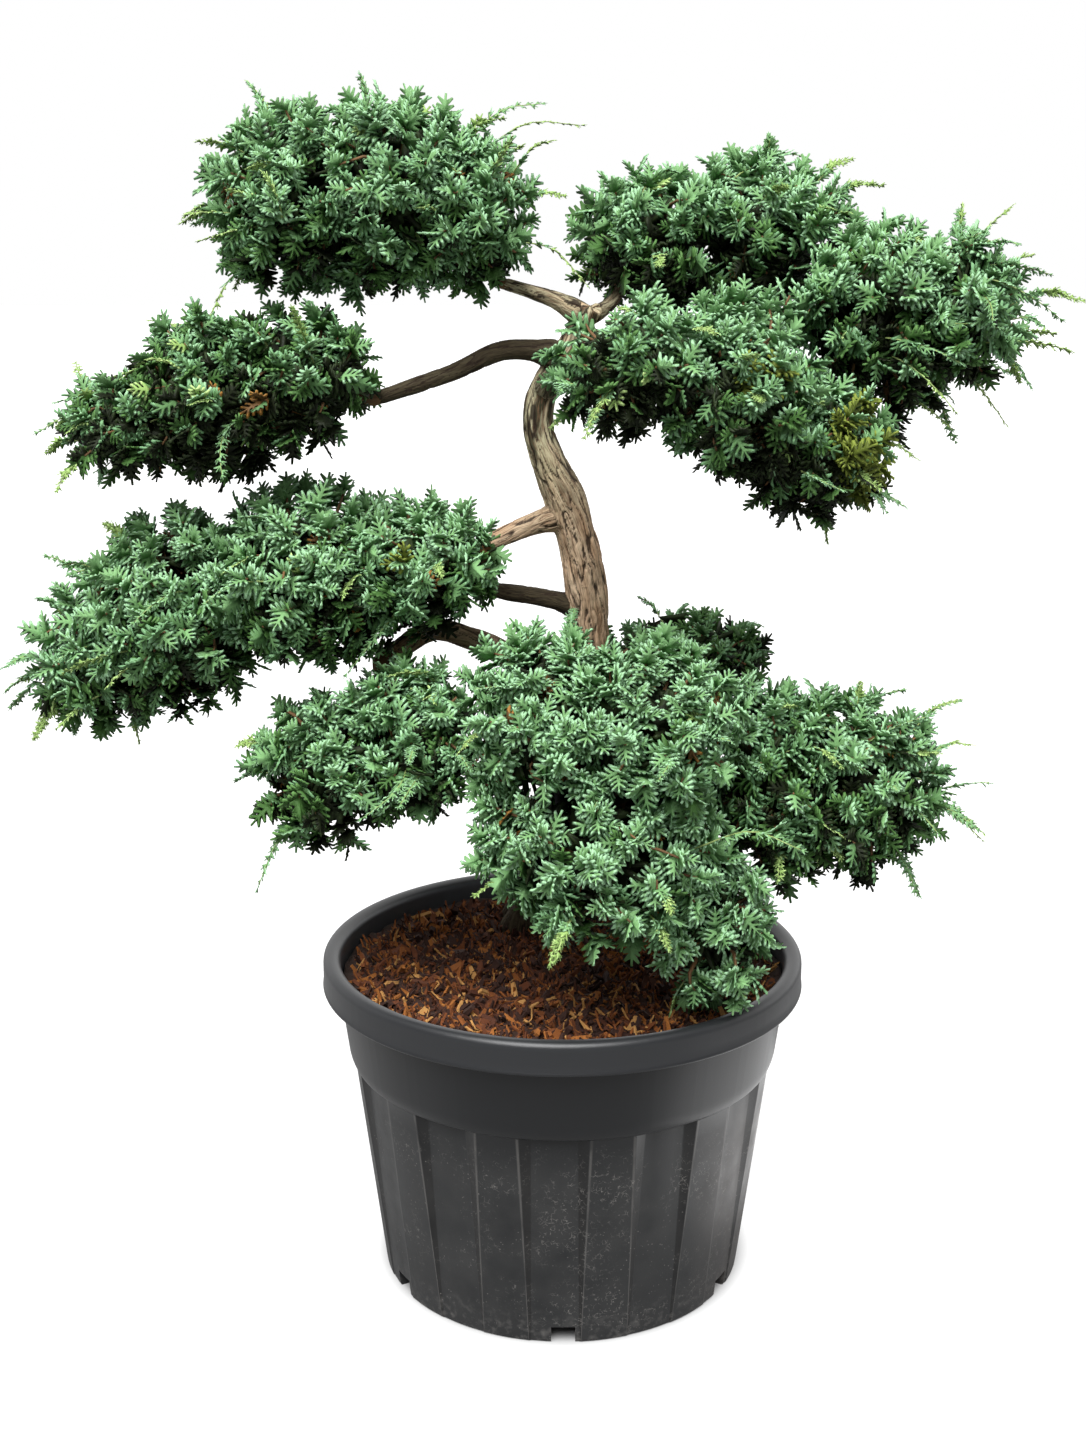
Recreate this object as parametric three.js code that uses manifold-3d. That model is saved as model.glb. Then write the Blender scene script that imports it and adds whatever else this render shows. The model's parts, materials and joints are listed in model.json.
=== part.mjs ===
// A cloud-pruned garden juniper in a ribbed nursery pot.
// Millimetres, +Z up. The origin is the centre of the pot's underside, and the plant's best side faces -Y.
import * as THREE from "three";
import { mergeVertices } from "three/addons/utils/BufferGeometryUtils.js";
import Module from "manifold-3d";

const wasm = await Module();
wasm.setup();

// Driving dimensions

const GAP = 0.3; // between pieces that meet
const SEED = 17;

const POT = {
  rimRadius: 300,
  height: 420,
  footRadius: 229,
  wall: 4,
  floor: 29, // top of the floor plate
  recess: 24, // height of the hollow under the floor plate
  footRing: 30, // width of the ring that the pot stands on
  bossRadius: 60, // flat boss under the middle of the floor
  bandBottom: 284,
  bandBottomRadius: 265,
  bandStep: 1.6, // how far the band's lower edge stands out of the raised panels
  bandBelly: 271, // radius where the band has rounded out, and the height above its edge
  bandBellyRise: 20,
  bandTopRadius: 281,
  collarBottom: 380,
  collarWidth: 22,
  collarRound: 9,
  ribCount: 12,
  ribTurn: 12.5, // degrees from the front to the middle of a raised panel
  ribSlope: 1.6, // half of the angle that one panel edge takes, in degrees
  ribDepthTop: 7.5,
  ribDepthFoot: 1,
  notchCount: 6,
  notchWidth: 29,
  notchHeight: 22,
};

const SOIL = {
  level: 395,
  relief: 6, // how far the rough top may dip
  rings: [0.95, 0.7, 0.45, 0.2], // rough rings, as shares of the mouth's radius
  columns: 30,
};

const TRUNK = {
  path: [
    [-27, 155, SOIL.level + GAP],
    [-12, 146, 497],
    [20, 126, 654],
    [33, 102, 830],
    [10, 84, 953],
    [-29, 70, 1058],
    [-21, 65, 1112],
    [6, 60, 1154],
    [31, 54, 1203],
  ],
  // share of the way up, and the radius there
  taper: [[0, 34], [0.4, 26.5], [0.7, 24], [0.83, 18], [1, 14.5]],
  flare: 0.55, // extra width at the ground, as a share of the radius
  flareHeight: 30,
  rootCount: 5,
  sides: 12,
  steps: 24,
};

// Each bough leaves the trunk at a height, runs through its points and ends where it enters its foliage.
const BOUGHS = {
  top_left: { leaves: 1192, path: [[-2, 54, 1209], [-69, 58, 1231]], radius: [11, 7] },
  top_right: { leaves: 1188, path: [[58, 75, 1209], [71, 100, 1229]], radius: [8, 6] },
  middle_left: {
    leaves: 1144,
    path: [[-42, 52, 1155], [-75, 45, 1153], [-134, 30, 1129], [-218, 5, 1102]],
    radius: [13, 8],
  },
  lower_left_upper: { leaves: 952, path: [[-42, 75, 941], [-104, 60, 915]], radius: [15, 10] },
  lower_left_under: {
    leaves: 829,
    path: [[-28, 100, 847], [-78, 98, 855], [-115, 75, 866]],
    radius: [12, 9],
  },
  low_left: {
    leaves: 700,
    path: [[-48, 74, 764], [-107, 40, 804], [-158, 5, 824], [-212, -42, 797]],
    radius: [17, 12],
  },
  low_front: { leaves: 640, path: [[-5, 50, 675], [-8, -25, 701]], radius: [18, 13] },
  low_right: { leaves: 672, path: [[149, 60, 646], [243, -50, 654]], radius: [16, 11] },
  low_rear: { leaves: 735, path: [[58, 122, 752], [81, 128, 764]], radius: [11, 9] },
  right: { leaves: 1160, path: [[103, 60, 1174], [209, 45, 1190], [280, 25, 1198]], radius: [12, 8] },
  right_front: { leaves: 1106, path: [[0, 5, 1135], [41, -50, 1154]], radius: [12, 9] },
};
const BOUGH_SIDES = 6;
const BOUGH_STEP = 30; // length of one straight stretch of a limb

// A mass of foliage is a run of egg-shaped lobes: centre x, y, z and half sizes along x, y, z.
// meets names the bough that its stem grows from, and touches any other bough that ends at it.
// tips are the ends of its longest shoots.
const FOLIAGE = {
  top_left: {
    meets: "top_left",
    lobes: [[-317, 60, 1326, 109, 165, 117], [-205, 60, 1333, 130, 175, 125], [-112, 50, 1308, 83, 140, 95]],
    tips: [[18, 30, 1408], [-234, 60, 1463], [-441, 30, 1301]],
  },
  middle_left: {
    meets: "middle_left",
    lobes: [[-305, -20, 1128, 95, 140, 87], [-405, -20, 1106, 108, 150, 102], [-505, -20, 1071, 81, 120, 61]],
    tips: [[-597, -40, 1044], [-580, -60, 1011]],
  },
  lower_left: {
    meets: "lower_left_upper",
    touches: ["lower_left_under"],
    lobes: [
      [-172, -20, 912, 104, 160, 77],
      [-300, -20, 900, 130, 200, 112],
      [-452, -20, 861, 122, 190, 122],
      [-545, -20, 805, 96, 140, 96],
    ],
    tips: [[-662, -60, 792], [-630, -60, 708]],
  },
  low_left: {
    meets: "low_left",
    lobes: [[-267, -120, 692, 101, 150, 94], [-170, -115, 720, 95, 130, 92]],
    tips: [[-352, -180, 561], [-380, -120, 672]],
  },
  low_front: {
    meets: "low_front",
    lobes: [
      [-15, -150, 750, 120, 165, 115],
      [95, -180, 750, 125, 170, 110],
      [48, -215, 620, 155, 140, 120],
      [172, -195, 526, 78, 82, 120],
    ],
    tips: [[-17, -330, 529], [-97, -240, 575], [124, -190, 410]],
  },
  low_right: {
    meets: "low_right",
    lobes: [[235, -120, 675, 92, 140, 124], [336, -100, 667, 123, 160, 112]],
    tips: [[491, -120, 608], [468, -60, 751], [412, -150, 543]],
  },
  low_rear: {
    meets: "low_rear",
    lobes: [[165, 140, 766, 110, 130, 49], [75, 240, 692, 130, 90, 85]],
    tips: [[103, 200, 827], [260, 190, 793]],
  },
  top_right: {
    meets: "top_right",
    lobes: [[110, 140, 1282, 115, 150, 92], [240, 140, 1295, 115, 160, 102]],
    tips: [[246, 140, 1401], [371, 120, 1346]],
  },
  right: {
    meets: "right",
    lobes: [[370, 20, 1193, 110, 160, 122], [452, 0, 1202, 84, 140, 97]],
    tips: [[593, -10, 1214], [534, -40, 1120], [458, 20, 1317]],
  },
  right_front: {
    meets: "right_front",
    lobes: [[76, -140, 1147, 104, 140, 82], [190, -130, 1118, 100, 150, 97], [285, -80, 1054, 98, 140, 91]],
    tips: [[299, -100, 950], [-13, -150, 1085]],
  },
};

// Each lobe has a dense core, and a tuft stands out of every facet of it.
const CORE = {
  share: 0.72, // size of the core beside its lobe
  lumps: 0.08, // how far a corner may stand in or out, as a share of the core's size
  detail: 1,
  tuftReach: [0.92, 1.06], // how far out the tufts end, as a share of the lobe
  tuftLean: 0.45, // how far a tuft's tip may shift towards one corner of its facet
};
const STEM_SIDES = 6;
const STEM_TAPER = 0.45;

// Toothed blades and long shoots grow out past the tufts.
const SPRAY = {
  spacing: 240, // between neighbouring sprays on a lobe
  sink: 30, // how deep a spray's root sits in the core
  // one side's corners, from the neck to the last notch: out from the middle line, and up from the root,
  // as shares of the length
  side: [[0.06, 0.42], [0.42, 0.62], [0.14, 0.66], [0.3, 0.88], [0.1, 0.84]],
  ridge: 0.6, // where the blade is thickest
  thickness: 12,
  lean: 0.85, // how far a spray leans over from straight out
  jitter: 0.22,
};
const WHIP = {
  arch: 0.16, // how far a shoot bows up, as a share of its length
  clear: 1.15, // how far out of any other mass it stays, 1 being that mass's surface
  radius: 3.2,
  sides: 3,
  steps: 3,
  leaves: 3,
  leafLength: 34,
  leafWidth: 10,
  sink: 30,
};
const SPACE_MARGIN = 0.07; // how much nearer a spray stays to its own lobes than to any other mass
const LIMB_MARGIN = 5;

// Small tools

const DEGREE = Math.PI / 180;
const vec = (p) => new THREE.Vector3(...p);
const mix = THREE.MathUtils.lerp;

function seeded(seed) {
  let state = seed >>> 0;
  return () => {
    state = (state + 0x6d2b79f5) >>> 0;
    let t = Math.imul(state ^ (state >>> 15), state | 1);
    t ^= t + Math.imul(t ^ (t >>> 7), t | 61);
    return ((t ^ (t >>> 14)) >>> 0) / 4294967296;
  };
}

// The value at a share of the way through [share, value] stations.
function station(stations, share) {
  const next = Math.max(1, stations.findIndex(([s]) => s >= share));
  const [[s0, v0], [s1, v1]] = [stations[next - 1], stations[next]];
  return mix(v0, v1, (share - s0) / (s1 - s0));
}

function geometryOf(points, triangles) {
  const geometry = new THREE.BufferGeometry().setFromPoints(points);
  geometry.setIndex(triangles);
  return geometry;
}

function solidOf(geometry) {
  const bare = new THREE.BufferGeometry().setAttribute("position", geometry.getAttribute("position"));
  if (geometry.index) bare.setIndex(geometry.index);
  const merged = mergeVertices(bare, 1e-3);
  const index = merged.index.array;
  const triVerts = [];
  for (let i = 0; i < index.length; i += 3) {
    const [a, b, c] = index.slice(i, i + 3);
    if (a !== b && b !== c && c !== a) triVerts.push(a, b, c);
  }
  const vertProperties = merged.attributes.position.array;
  const mesh = new wasm.Mesh({ numProp: 3, vertProperties, triVerts: new Uint32Array(triVerts) });
  return new wasm.Manifold(mesh);
}

// Keeps the largest body of a joined solid: loose scraps go, and sealed hollows are filled.
function geometryFrom(solid) {
  const whole = solid.decompose().sort((a, b) => b.volume() - a.volume())[0];
  const mesh = whole.getMesh();
  const geometry = new THREE.BufferGeometry();
  geometry.setAttribute("position", new THREE.BufferAttribute(new Float32Array(mesh.vertProperties), 3));
  geometry.setIndex(new THREE.BufferAttribute(mesh.triVerts, 1));
  return geometry;
}

// A tapering limb along a curve. radiusAt gets the share of the way along and the angle round the limb.
function limb(curve, radiusAt, { sides, steps, firstNormal, lastNormal }) {
  const points = [];
  const triangles = [];
  let across = null;
  for (let i = 0; i <= steps; i++) {
    const share = i / steps;
    let along = curve.getTangentAt(share);
    if (i === 0 && firstNormal) along = firstNormal.clone();
    if (i === steps && lastNormal) along = lastNormal.clone();
    if (!across) across = Math.abs(along.x) < 0.8 ? new THREE.Vector3(1, 0, 0) : new THREE.Vector3(0, 1, 0);
    across = across.clone().addScaledVector(along, -across.dot(along)).normalize();
    const other = along.clone().cross(across);
    const centre = curve.getPointAt(share);
    for (let k = 0; k < sides; k++) {
      const turn = (2 * Math.PI * k) / sides;
      const radius = radiusAt(share, turn);
      const point = centre.clone().addScaledVector(across, radius * Math.cos(turn));
      points.push(point.addScaledVector(other, radius * Math.sin(turn)));
    }
  }
  for (let i = 0; i < steps; i++) {
    for (let k = 0; k < sides; k++) {
      const [a, b] = [i * sides + k, i * sides + ((k + 1) % sides)];
      triangles.push(a, b, b + sides, a, b + sides, a + sides);
    }
  }
  const last = steps * sides;
  for (let k = 1; k < sides - 1; k++) {
    triangles.push(0, k + 1, k);
    triangles.push(last, last + k, last + k + 1);
  }
  return geometryOf(points, triangles);
}

const curveThrough = (points) => new THREE.CatmullRomCurve3(points, false, "centripetal");

// Pot: a turned profile whose columns follow the edges of the raised panels

const SHOULDER = POT.bandBottomRadius - POT.bandStep; // radius of the raised panels where they meet the band

// The inner wall, from the floor up to the mouth: radius and height.
const INNER_WALL = [
  [POT.footRadius - POT.ribDepthFoot - POT.wall, POT.floor],
  [SHOULDER - POT.ribDepthTop - POT.wall, POT.bandBottom],
  [POT.bandTopRadius - POT.wall, POT.collarBottom],
];

function potProfile() {
  const { rimRadius: rim, height: top, wall, collarWidth: wide, collarRound: round } = POT;
  const cap = top - round;
  return [
    [0, 0],
    [POT.bossRadius, 0],
    [POT.bossRadius, POT.recess],
    [POT.footRadius - POT.footRing, POT.recess],
    [POT.footRadius - POT.footRing, 0],
    [POT.footRadius, 0],
    [SHOULDER, POT.bandBottom],
    [POT.bandBottomRadius, POT.bandBottom + 1],
    [mix(POT.bandBottomRadius, POT.bandBelly, 0.6), POT.bandBottom + POT.bandBellyRise * 0.35],
    [POT.bandBelly, POT.bandBottom + POT.bandBellyRise],
    [POT.bandTopRadius, POT.collarBottom],
    [POT.bandTopRadius + 1, cap - wall],
    [rim - wall, cap - wall],
    [rim - wall, POT.collarBottom],
    [rim, POT.collarBottom],
    [rim, cap],
    [rim - round * 0.3, top - round * 0.3],
    [rim - round, top],
    [rim - wide + round * 0.7, top - round * 0.2],
    [rim - wide, cap],
    ...INNER_WALL.toReversed(),
    [0, POT.floor],
  ].map(([r, z]) => new THREE.Vector2(r, z));
}

// Columns come in pairs, one at each side of every panel edge.
function potColumn(index) {
  const edge = Math.floor(index / 2);
  const panel = 180 / POT.ribCount;
  const side = index % 2 ? POT.ribSlope : -POT.ribSlope;
  const angle = (POT.ribTurn + panel * (edge - 0.5) + side) * DEGREE;
  return { angle, raised: (edge + (index % 2)) % 2 === 1 };
}

function makePot() {
  const columns = 4 * POT.ribCount;
  const profile = potProfile();
  const turned = new THREE.LatheGeometry(profile, columns);
  const place = turned.getAttribute("position");
  const panelFoot = profile.findIndex((point) => point.x === POT.footRadius);
  for (let i = 0; i <= columns; i++) {
    const { angle, raised } = potColumn(i % columns);
    profile.forEach((point, j) => {
      const onPanel = j === panelFoot || j === panelFoot + 1;
      const depth = mix(POT.ribDepthFoot, POT.ribDepthTop, point.y / POT.bandBottom);
      const radius = point.x - (onPanel && !raised ? depth : 0);
      place.setXYZ(i * profile.length + j, radius * Math.sin(angle), point.y, radius * Math.cos(angle));
    });
  }
  turned.rotateX(Math.PI / 2);
  let pot = solidOf(turned);
  for (let k = 0; k < POT.notchCount; k++) {
    const notch = new THREE.BoxGeometry(POT.notchWidth, 3 * POT.footRing, 2 * POT.notchHeight);
    notch.translate(0, -POT.footRadius, 0);
    notch.rotateZ((2 * Math.PI * k) / POT.notchCount);
    pot = pot.subtract(solidOf(notch));
  }
  return geometryFrom(pot);
}

// Soil: a plug that fills the pot, with a rough top that never rises above the ground level

function makeSoil() {
  const random = seeded(SEED);
  const widest = 180 / POT.ribCount - 2 * POT.ribSlope;
  const flatness = Math.cos((widest / 2) * DEGREE); // keeps the plug inside the flat facets of the inner wall
  const mouth = POT.bandTopRadius - POT.wall;
  const side = INNER_WALL.map(([r, z]) => [(r - GAP) * flatness, z]);
  side[0][1] += GAP;
  const top = SOIL.rings.map((share) => [mouth * share, SOIL.level]);
  const outline = [[0, POT.floor + GAP], ...side, ...top, [0, SOIL.level]];
  const profile = outline.map(([r, z]) => new THREE.Vector2(r, z));
  const turned = new THREE.LatheGeometry(profile, SOIL.columns);
  const place = turned.getAttribute("position");
  for (let j = 1 + side.length; j < profile.length - 1; j++) {
    for (let i = 0; i < SOIL.columns; i++) {
      place.setY(i * profile.length + j, SOIL.level - SOIL.relief * random());
    }
    place.setY(SOIL.columns * profile.length + j, place.getY(j));
  }
  turned.rotateX(Math.PI / 2);
  return geometryFrom(solidOf(turned));
}

// Trunk and boughs

function trunkCurve(extra) {
  const points = TRUNK.path.map(vec);
  const last = points.length - 1;
  const onward = points[last].clone().sub(points[last - 1]).normalize();
  points[last].addScaledVector(onward, extra);
  return curveThrough(points);
}

function trunkRadius(share, turn, height) {
  const roots = 1 + 0.4 * Math.cos(TRUNK.rootCount * turn);
  const flare = TRUNK.flare * Math.exp(-height / TRUNK.flareHeight) * roots;
  return station(TRUNK.taper, share) * (1 + flare);
}

function makeTrunk(extra) {
  const curve = trunkCurve(extra);
  const length = curve.getLength();
  const radiusAt = (share, turn) => trunkRadius(share, turn, share * length) + extra;
  const up = new THREE.Vector3(0, 0, 1);
  return limb(curve, radiusAt, { sides: TRUNK.sides, steps: TRUNK.steps, firstNormal: up });
}

const TRUNK_LINE = trunkCurve(0).getSpacedPoints(120);
const onTrunk = (height) => TRUNK_LINE.find((p) => p.z >= height) ?? TRUNK_LINE.at(-1);

function boughCurve({ leaves, path }) {
  return curveThrough([onTrunk(leaves).clone(), ...path.map(vec)]);
}

const BOUGH_CURVES = {};
for (const [name, bough] of Object.entries(BOUGHS)) BOUGH_CURVES[name] = boughCurve(bough);

// The whole limb from the trunk's middle to its tip, made thicker and longer by extra.
function makeBough(name, extra) {
  const curve = BOUGH_CURVES[name];
  const [root, tip] = BOUGHS[name].radius;
  const steps = Math.max(3, Math.round(curve.getLength() / BOUGH_STEP));
  const lastNormal = curve.getTangentAt(1);
  const taper = (share) => mix(root, tip, share) + extra;
  const whole = limb(curve, taper, { sides: BOUGH_SIDES, steps, lastNormal });
  const place = whole.getAttribute("position");
  for (let i = place.count - BOUGH_SIDES; i < place.count; i++) {
    const end = new THREE.Vector3().fromBufferAttribute(place, i).addScaledVector(lastNormal, extra);
    place.setXYZ(i, end.x, end.y, end.z);
  }
  return solidOf(whole);
}

// Where the wood is, as spheres along each limb, so that foliage can keep clear of it

function woodSpheres() {
  const steps = TRUNK_LINE.length - 1;
  const spheres = TRUNK_LINE.map((p, i) => ({ p, r: trunkRadius(i / steps, 0, p.z - SOIL.level) }));
  for (const [name, curve] of Object.entries(BOUGH_CURVES)) {
    const count = Math.ceil(curve.getLength() / 6);
    const [root, tip] = BOUGHS[name].radius;
    curve.getSpacedPoints(count).forEach((p, i) => spheres.push({ p, r: mix(root, tip, i / count) }));
  }
  return spheres;
}

const WOOD = woodSpheres();
const touchesWood = (p) => WOOD.some((s) => p.distanceTo(s.p) < s.r + LIMB_MARGIN);

function touchesPot(p) {
  const out = Math.hypot(p.x, p.y);
  const overRim = p.z > POT.height + LIMB_MARGIN || out > POT.rimRadius + LIMB_MARGIN;
  const inMouth = p.z > SOIL.level + LIMB_MARGIN && out < POT.rimRadius - 2 * POT.collarWidth;
  return !overRim && !inMouth;
}

// Foliage

// How far out of a lobe a point lies: 1 is on its surface.
function outOf([x, y, z, a, b, c], p) {
  return Math.hypot((p.x - x) / a, (p.y - y) / b, (p.z - z) / c);
}
const outOfMass = (name, p) => Math.min(...FOLIAGE[name].lobes.map((lobe) => outOf(lobe, p)));

function outOfOthers(name, p) {
  const others = Object.keys(FOLIAGE).filter((other) => other !== name);
  return Math.min(...others.map((other) => outOfMass(other, p)));
}
const isFree = (p) => !touchesWood(p) && !touchesPot(p);
const inOwnSpace = (name, p) => outOfMass(name, p) + SPACE_MARGIN < outOfOthers(name, p) && isFree(p);

// A lumpy ball whose facets carry tufts, but not where a tuft would meet another lobe, mass or limb.
function makeCore(name, lobe, random) {
  const [x, y, z, a, b, c] = lobe;
  const siblings = FOLIAGE[name].lobes.filter((other) => other !== lobe);
  const sizes = new THREE.Vector3(a, b, c);
  const onLobe = (u, share) => new THREE.Vector3(x, y, z).addScaledVector(u.clone().multiply(sizes), share);
  const turn = new THREE.Euler(...[0, 0, 0].map(() => 2 * Math.PI * random()));
  const ball = new THREE.IcosahedronGeometry(1, CORE.detail);
  ball.applyQuaternion(new THREE.Quaternion().setFromEuler(turn));
  const place = ball.getAttribute("position");
  const lumps = new Map();
  const cornerAt = (u) => {
    const key = u.toArray().map((v) => Math.round(v * 1000)).join();
    if (!lumps.has(key)) lumps.set(key, onLobe(u, CORE.share * (1 + CORE.lumps * (2 * random() - 1))));
    return lumps.get(key);
  };
  const points = [];
  for (let i = 0; i < place.count; i += 3) {
    const directions = [0, 1, 2].map((k) => new THREE.Vector3().fromBufferAttribute(place, i + k));
    const corners = directions.map(cornerAt);
    const out = directions.reduce((sum, u) => sum.add(u), new THREE.Vector3()).normalize();
    const tip = onLobe(out, mix(...CORE.tuftReach, random()));
    const middle = onLobe(out, CORE.share);
    tip.addScaledVector(corners[Math.floor(3 * random())].clone().sub(middle), CORE.tuftLean * random());
    const buried = siblings.some((other) => outOf(other, tip) < 1);
    if (buried || !inOwnSpace(name, tip)) points.push(...corners);
    else [0, 1, 2].forEach((k) => points.push(corners[k], corners[(k + 1) % 3], tip));
  }
  return solidOf(geometryOf(points, points.map((_, i) => i)));
}

// A stem carries on from its bough's tip, runs to the nearest lobe and on through the others.
function makeStem(boughName, lobes, reachAll) {
  const curve = BOUGH_CURVES[boughName];
  const along = curve.getTangentAt(1);
  const start = curve.getPointAt(1).addScaledVector(along, GAP);
  const radius = BOUGHS[boughName].radius[1];
  const centres = lobes.map(([x, y, z]) => new THREE.Vector3(x, y, z));
  centres.sort((p, q) => p.distanceTo(start) - q.distanceTo(start));
  const onward = reachAll ? centres : centres.slice(0, 1);
  const path = curveThrough([start, start.clone().addScaledVector(along, radius), ...onward]);
  const steps = Math.max(3, Math.round(path.getLength() / (2 * BOUGH_STEP)));
  const taper = (share) => radius * mix(1, STEM_TAPER, share);
  return solidOf(limb(path, taper, { sides: STEM_SIDES, steps, firstNormal: along }));
}

// A toothed blade that stands for one flat spray of scale leaves: root at 0, growing along +Z, flat across X.
function sprayBlade(length) {
  const right = SPRAY.side.map(([out, up]) => [out, 0, up]);
  const left = SPRAY.side.map(([out, up]) => [-out, 0, up]).reverse();
  const outline = [[0, 0, 0], ...right, [0, 0, 1], ...left].map((p) => vec(p).multiplyScalar(length));
  const count = outline.length;
  const [ridge, half] = [SPRAY.ridge * length, SPRAY.thickness / 2];
  outline.push(new THREE.Vector3(0, -half, ridge), new THREE.Vector3(0, half, ridge));
  const faces = [];
  for (let k = 0; k < count; k++) {
    const next = (k + 1) % count;
    faces.push(count, k, next, count + 1, next, k);
  }
  return { outline, faces };
}

// A slim eight-faced leaf for the long shoots.
function shootLeaf(length) {
  const [wide, thick, belly] = [WHIP.leafWidth / 2, WHIP.leafWidth / 4, length * 0.45];
  const girdle = [[wide, 0, belly], [0, thick, belly], [-wide, 0, belly], [0, -thick, belly]];
  const outline = [[0, 0, 0], ...girdle, [0, 0, length]];
  const faces = [];
  for (let k = 0; k < 4; k++) {
    const [a, b] = [1 + k, 1 + ((k + 1) % 4)];
    faces.push(0, b, a, 5, a, b);
  }
  return { outline: outline.map(vec), faces };
}

// Sets a blade with its root at a point, growing along a direction, with its flat side towards facing.
function setBlade({ outline, faces }, root, along, facing) {
  const across = facing.clone().cross(along).normalize();
  const turn = new THREE.Matrix4().makeBasis(across, along.clone().cross(across), along).setPosition(root);
  return { points: outline.map((p) => p.clone().applyMatrix4(turn)), faces };
}

const GOLDEN_TURN = Math.PI * (3 - Math.sqrt(5));

function goldenDirection(index, count) {
  const height = 1 - (2 * index + 1) / count;
  const out = Math.sqrt(1 - height * height);
  return new THREE.Vector3(out * Math.cos(index * GOLDEN_TURN), out * Math.sin(index * GOLDEN_TURN), height);
}

const shaken = (v, amount, random) =>
  new THREE.Vector3(...v.toArray().map((x) => x + amount * (2 * random() - 1))).normalize();

function lobeArea([, , , a, b, c]) {
  const power = 1.6;
  const mean = ((a * b) ** power + (a * c) ** power + (b * c) ** power) / 3;
  return 4 * Math.PI * mean ** (1 / power);
}

function makeSprays(name, lobe, random) {
  const [x, y, z, a, b, c] = lobe;
  const siblings = FOLIAGE[name].lobes.filter((other) => other !== lobe);
  const centre = new THREE.Vector3(x, y, z);
  const sizes = new THREE.Vector3(a, b, c);
  const count = Math.round(lobeArea(lobe) / SPRAY.spacing ** 2);
  const sprays = [];
  for (let i = 0; i < count; i++) {
    const u = shaken(goldenDirection(i, count), SPRAY.jitter, random);
    const reach = 0.98 + 0.1 * random();
    const lean = shaken(new THREE.Vector3(), 1, random).multiplyScalar(SPRAY.lean);
    const skin = centre.clone().addScaledVector(u.clone().multiply(sizes), CORE.share);
    const normal = u.clone().divide(sizes).normalize();
    const along = normal.clone().add(lean.addScaledVector(normal, -lean.dot(normal))).normalize();
    const height = centre.clone().addScaledVector(u.clone().multiply(sizes), reach).distanceTo(skin);
    const length = height / along.dot(normal) + SPRAY.sink;
    const root = skin.addScaledVector(along, -SPRAY.sink);
    const { points, faces } = setBlade(sprayBlade(length), root, along, normal);
    const buried = points.slice(1).some((p) => siblings.some((other) => outOf(other, p) < CORE.share));
    if (!buried && points.every((p) => inOwnSpace(name, p))) sprays.push(solidOf(geometryOf(points, faces)));
  }
  return sprays;
}

// A long shoot grows out of the nearest lobe, bows up and nods at its tip.
function makeWhip(name, tip) {
  const nearest = [...FOLIAGE[name].lobes].sort((a, b) => outOf(a, tip) - outOf(b, tip))[0];
  const centre = vec(nearest.slice(0, 3));
  const root = centre.clone().lerp(tip, CORE.share / outOf(nearest, tip));
  root.addScaledVector(tip.clone().sub(centre).normalize(), -WHIP.sink);
  const middle = root.clone().lerp(tip, 0.55);
  middle.z += WHIP.arch * root.distanceTo(tip);
  const path = curveThrough([root, middle, tip]);
  const taper = (share) => WHIP.radius * (1 - 0.7 * share);
  const shoot = limb(path, taper, { sides: WHIP.sides, steps: WHIP.steps });
  const pieces = [{ points: path.getSpacedPoints(8).slice(3), solid: solidOf(shoot) }];
  for (let k = 0; k < WHIP.leaves; k++) {
    const share = mix(0.55, 0.95, k / (WHIP.leaves - 1));
    const along = path.getTangentAt(share);
    const side = new THREE.Vector3(0, 0, 1).cross(along).normalize().multiplyScalar(k % 2 ? 0.7 : -0.7);
    const last = k === WHIP.leaves - 1;
    const heading = last ? along : along.clone().add(side).normalize();
    const foot = path.getPointAt(share).addScaledVector(heading, last ? 4 - WHIP.leafLength : -4);
    const leaf = setBlade(shootLeaf(WHIP.leafLength), foot, heading, new THREE.Vector3(0, 0, 1));
    pieces.push({ points: leaf.points, solid: solidOf(geometryOf(leaf.points, leaf.faces)) });
  }
  const isClear = (p) => outOfOthers(name, p) > WHIP.clear && isFree(p);
  return pieces.every((piece) => piece.points.every(isClear)) ? pieces.map((piece) => piece.solid) : [];
}

function makeFoliage(name, index) {
  const { lobes, tips, meets, touches = [] } = FOLIAGE[name];
  const random = seeded(SEED + 100 * (index + 1));
  const cores = lobes.map((lobe) => makeCore(name, lobe, random));
  let mass = cores.reduce((sum, core) => sum.add(core));
  for (const bough of [meets, ...touches]) mass = mass.subtract(makeBough(bough, GAP));
  mass = mass.add(makeStem(meets, lobes, true));
  for (const bough of touches) mass = mass.add(makeStem(bough, lobes, false));
  for (const lobe of lobes) {
    for (const spray of makeSprays(name, lobe, random)) mass = mass.add(spray);
  }
  for (const tip of tips) {
    for (const piece of makeWhip(name, vec(tip))) mass = mass.add(piece);
  }
  return geometryFrom(mass);
}

// The assembly

const FINISH = {
  pot: new THREE.MeshStandardMaterial({ color: 0x3a3b3d, roughness: 0.55, metalness: 0 }),
  soil: new THREE.MeshStandardMaterial({ color: 0x4a2f20, roughness: 0.95, metalness: 0 }),
  bark: new THREE.MeshStandardMaterial({ color: 0x7a6252, roughness: 0.9, metalness: 0 }),
  foliage: new THREE.MeshStandardMaterial({ color: 0x557f68, roughness: 0.8, metalness: 0 }),
};

function part(name, geometry, finish) {
  const mesh = new THREE.Mesh(geometry, finish);
  mesh.name = name;
  return mesh;
}

const juniper = new THREE.Group();
juniper.add(part("pot", makePot(), FINISH.pot));
juniper.add(part("soil", makeSoil(), FINISH.soil));
juniper.add(part("trunk", makeTrunk(0), FINISH.bark));

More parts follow.
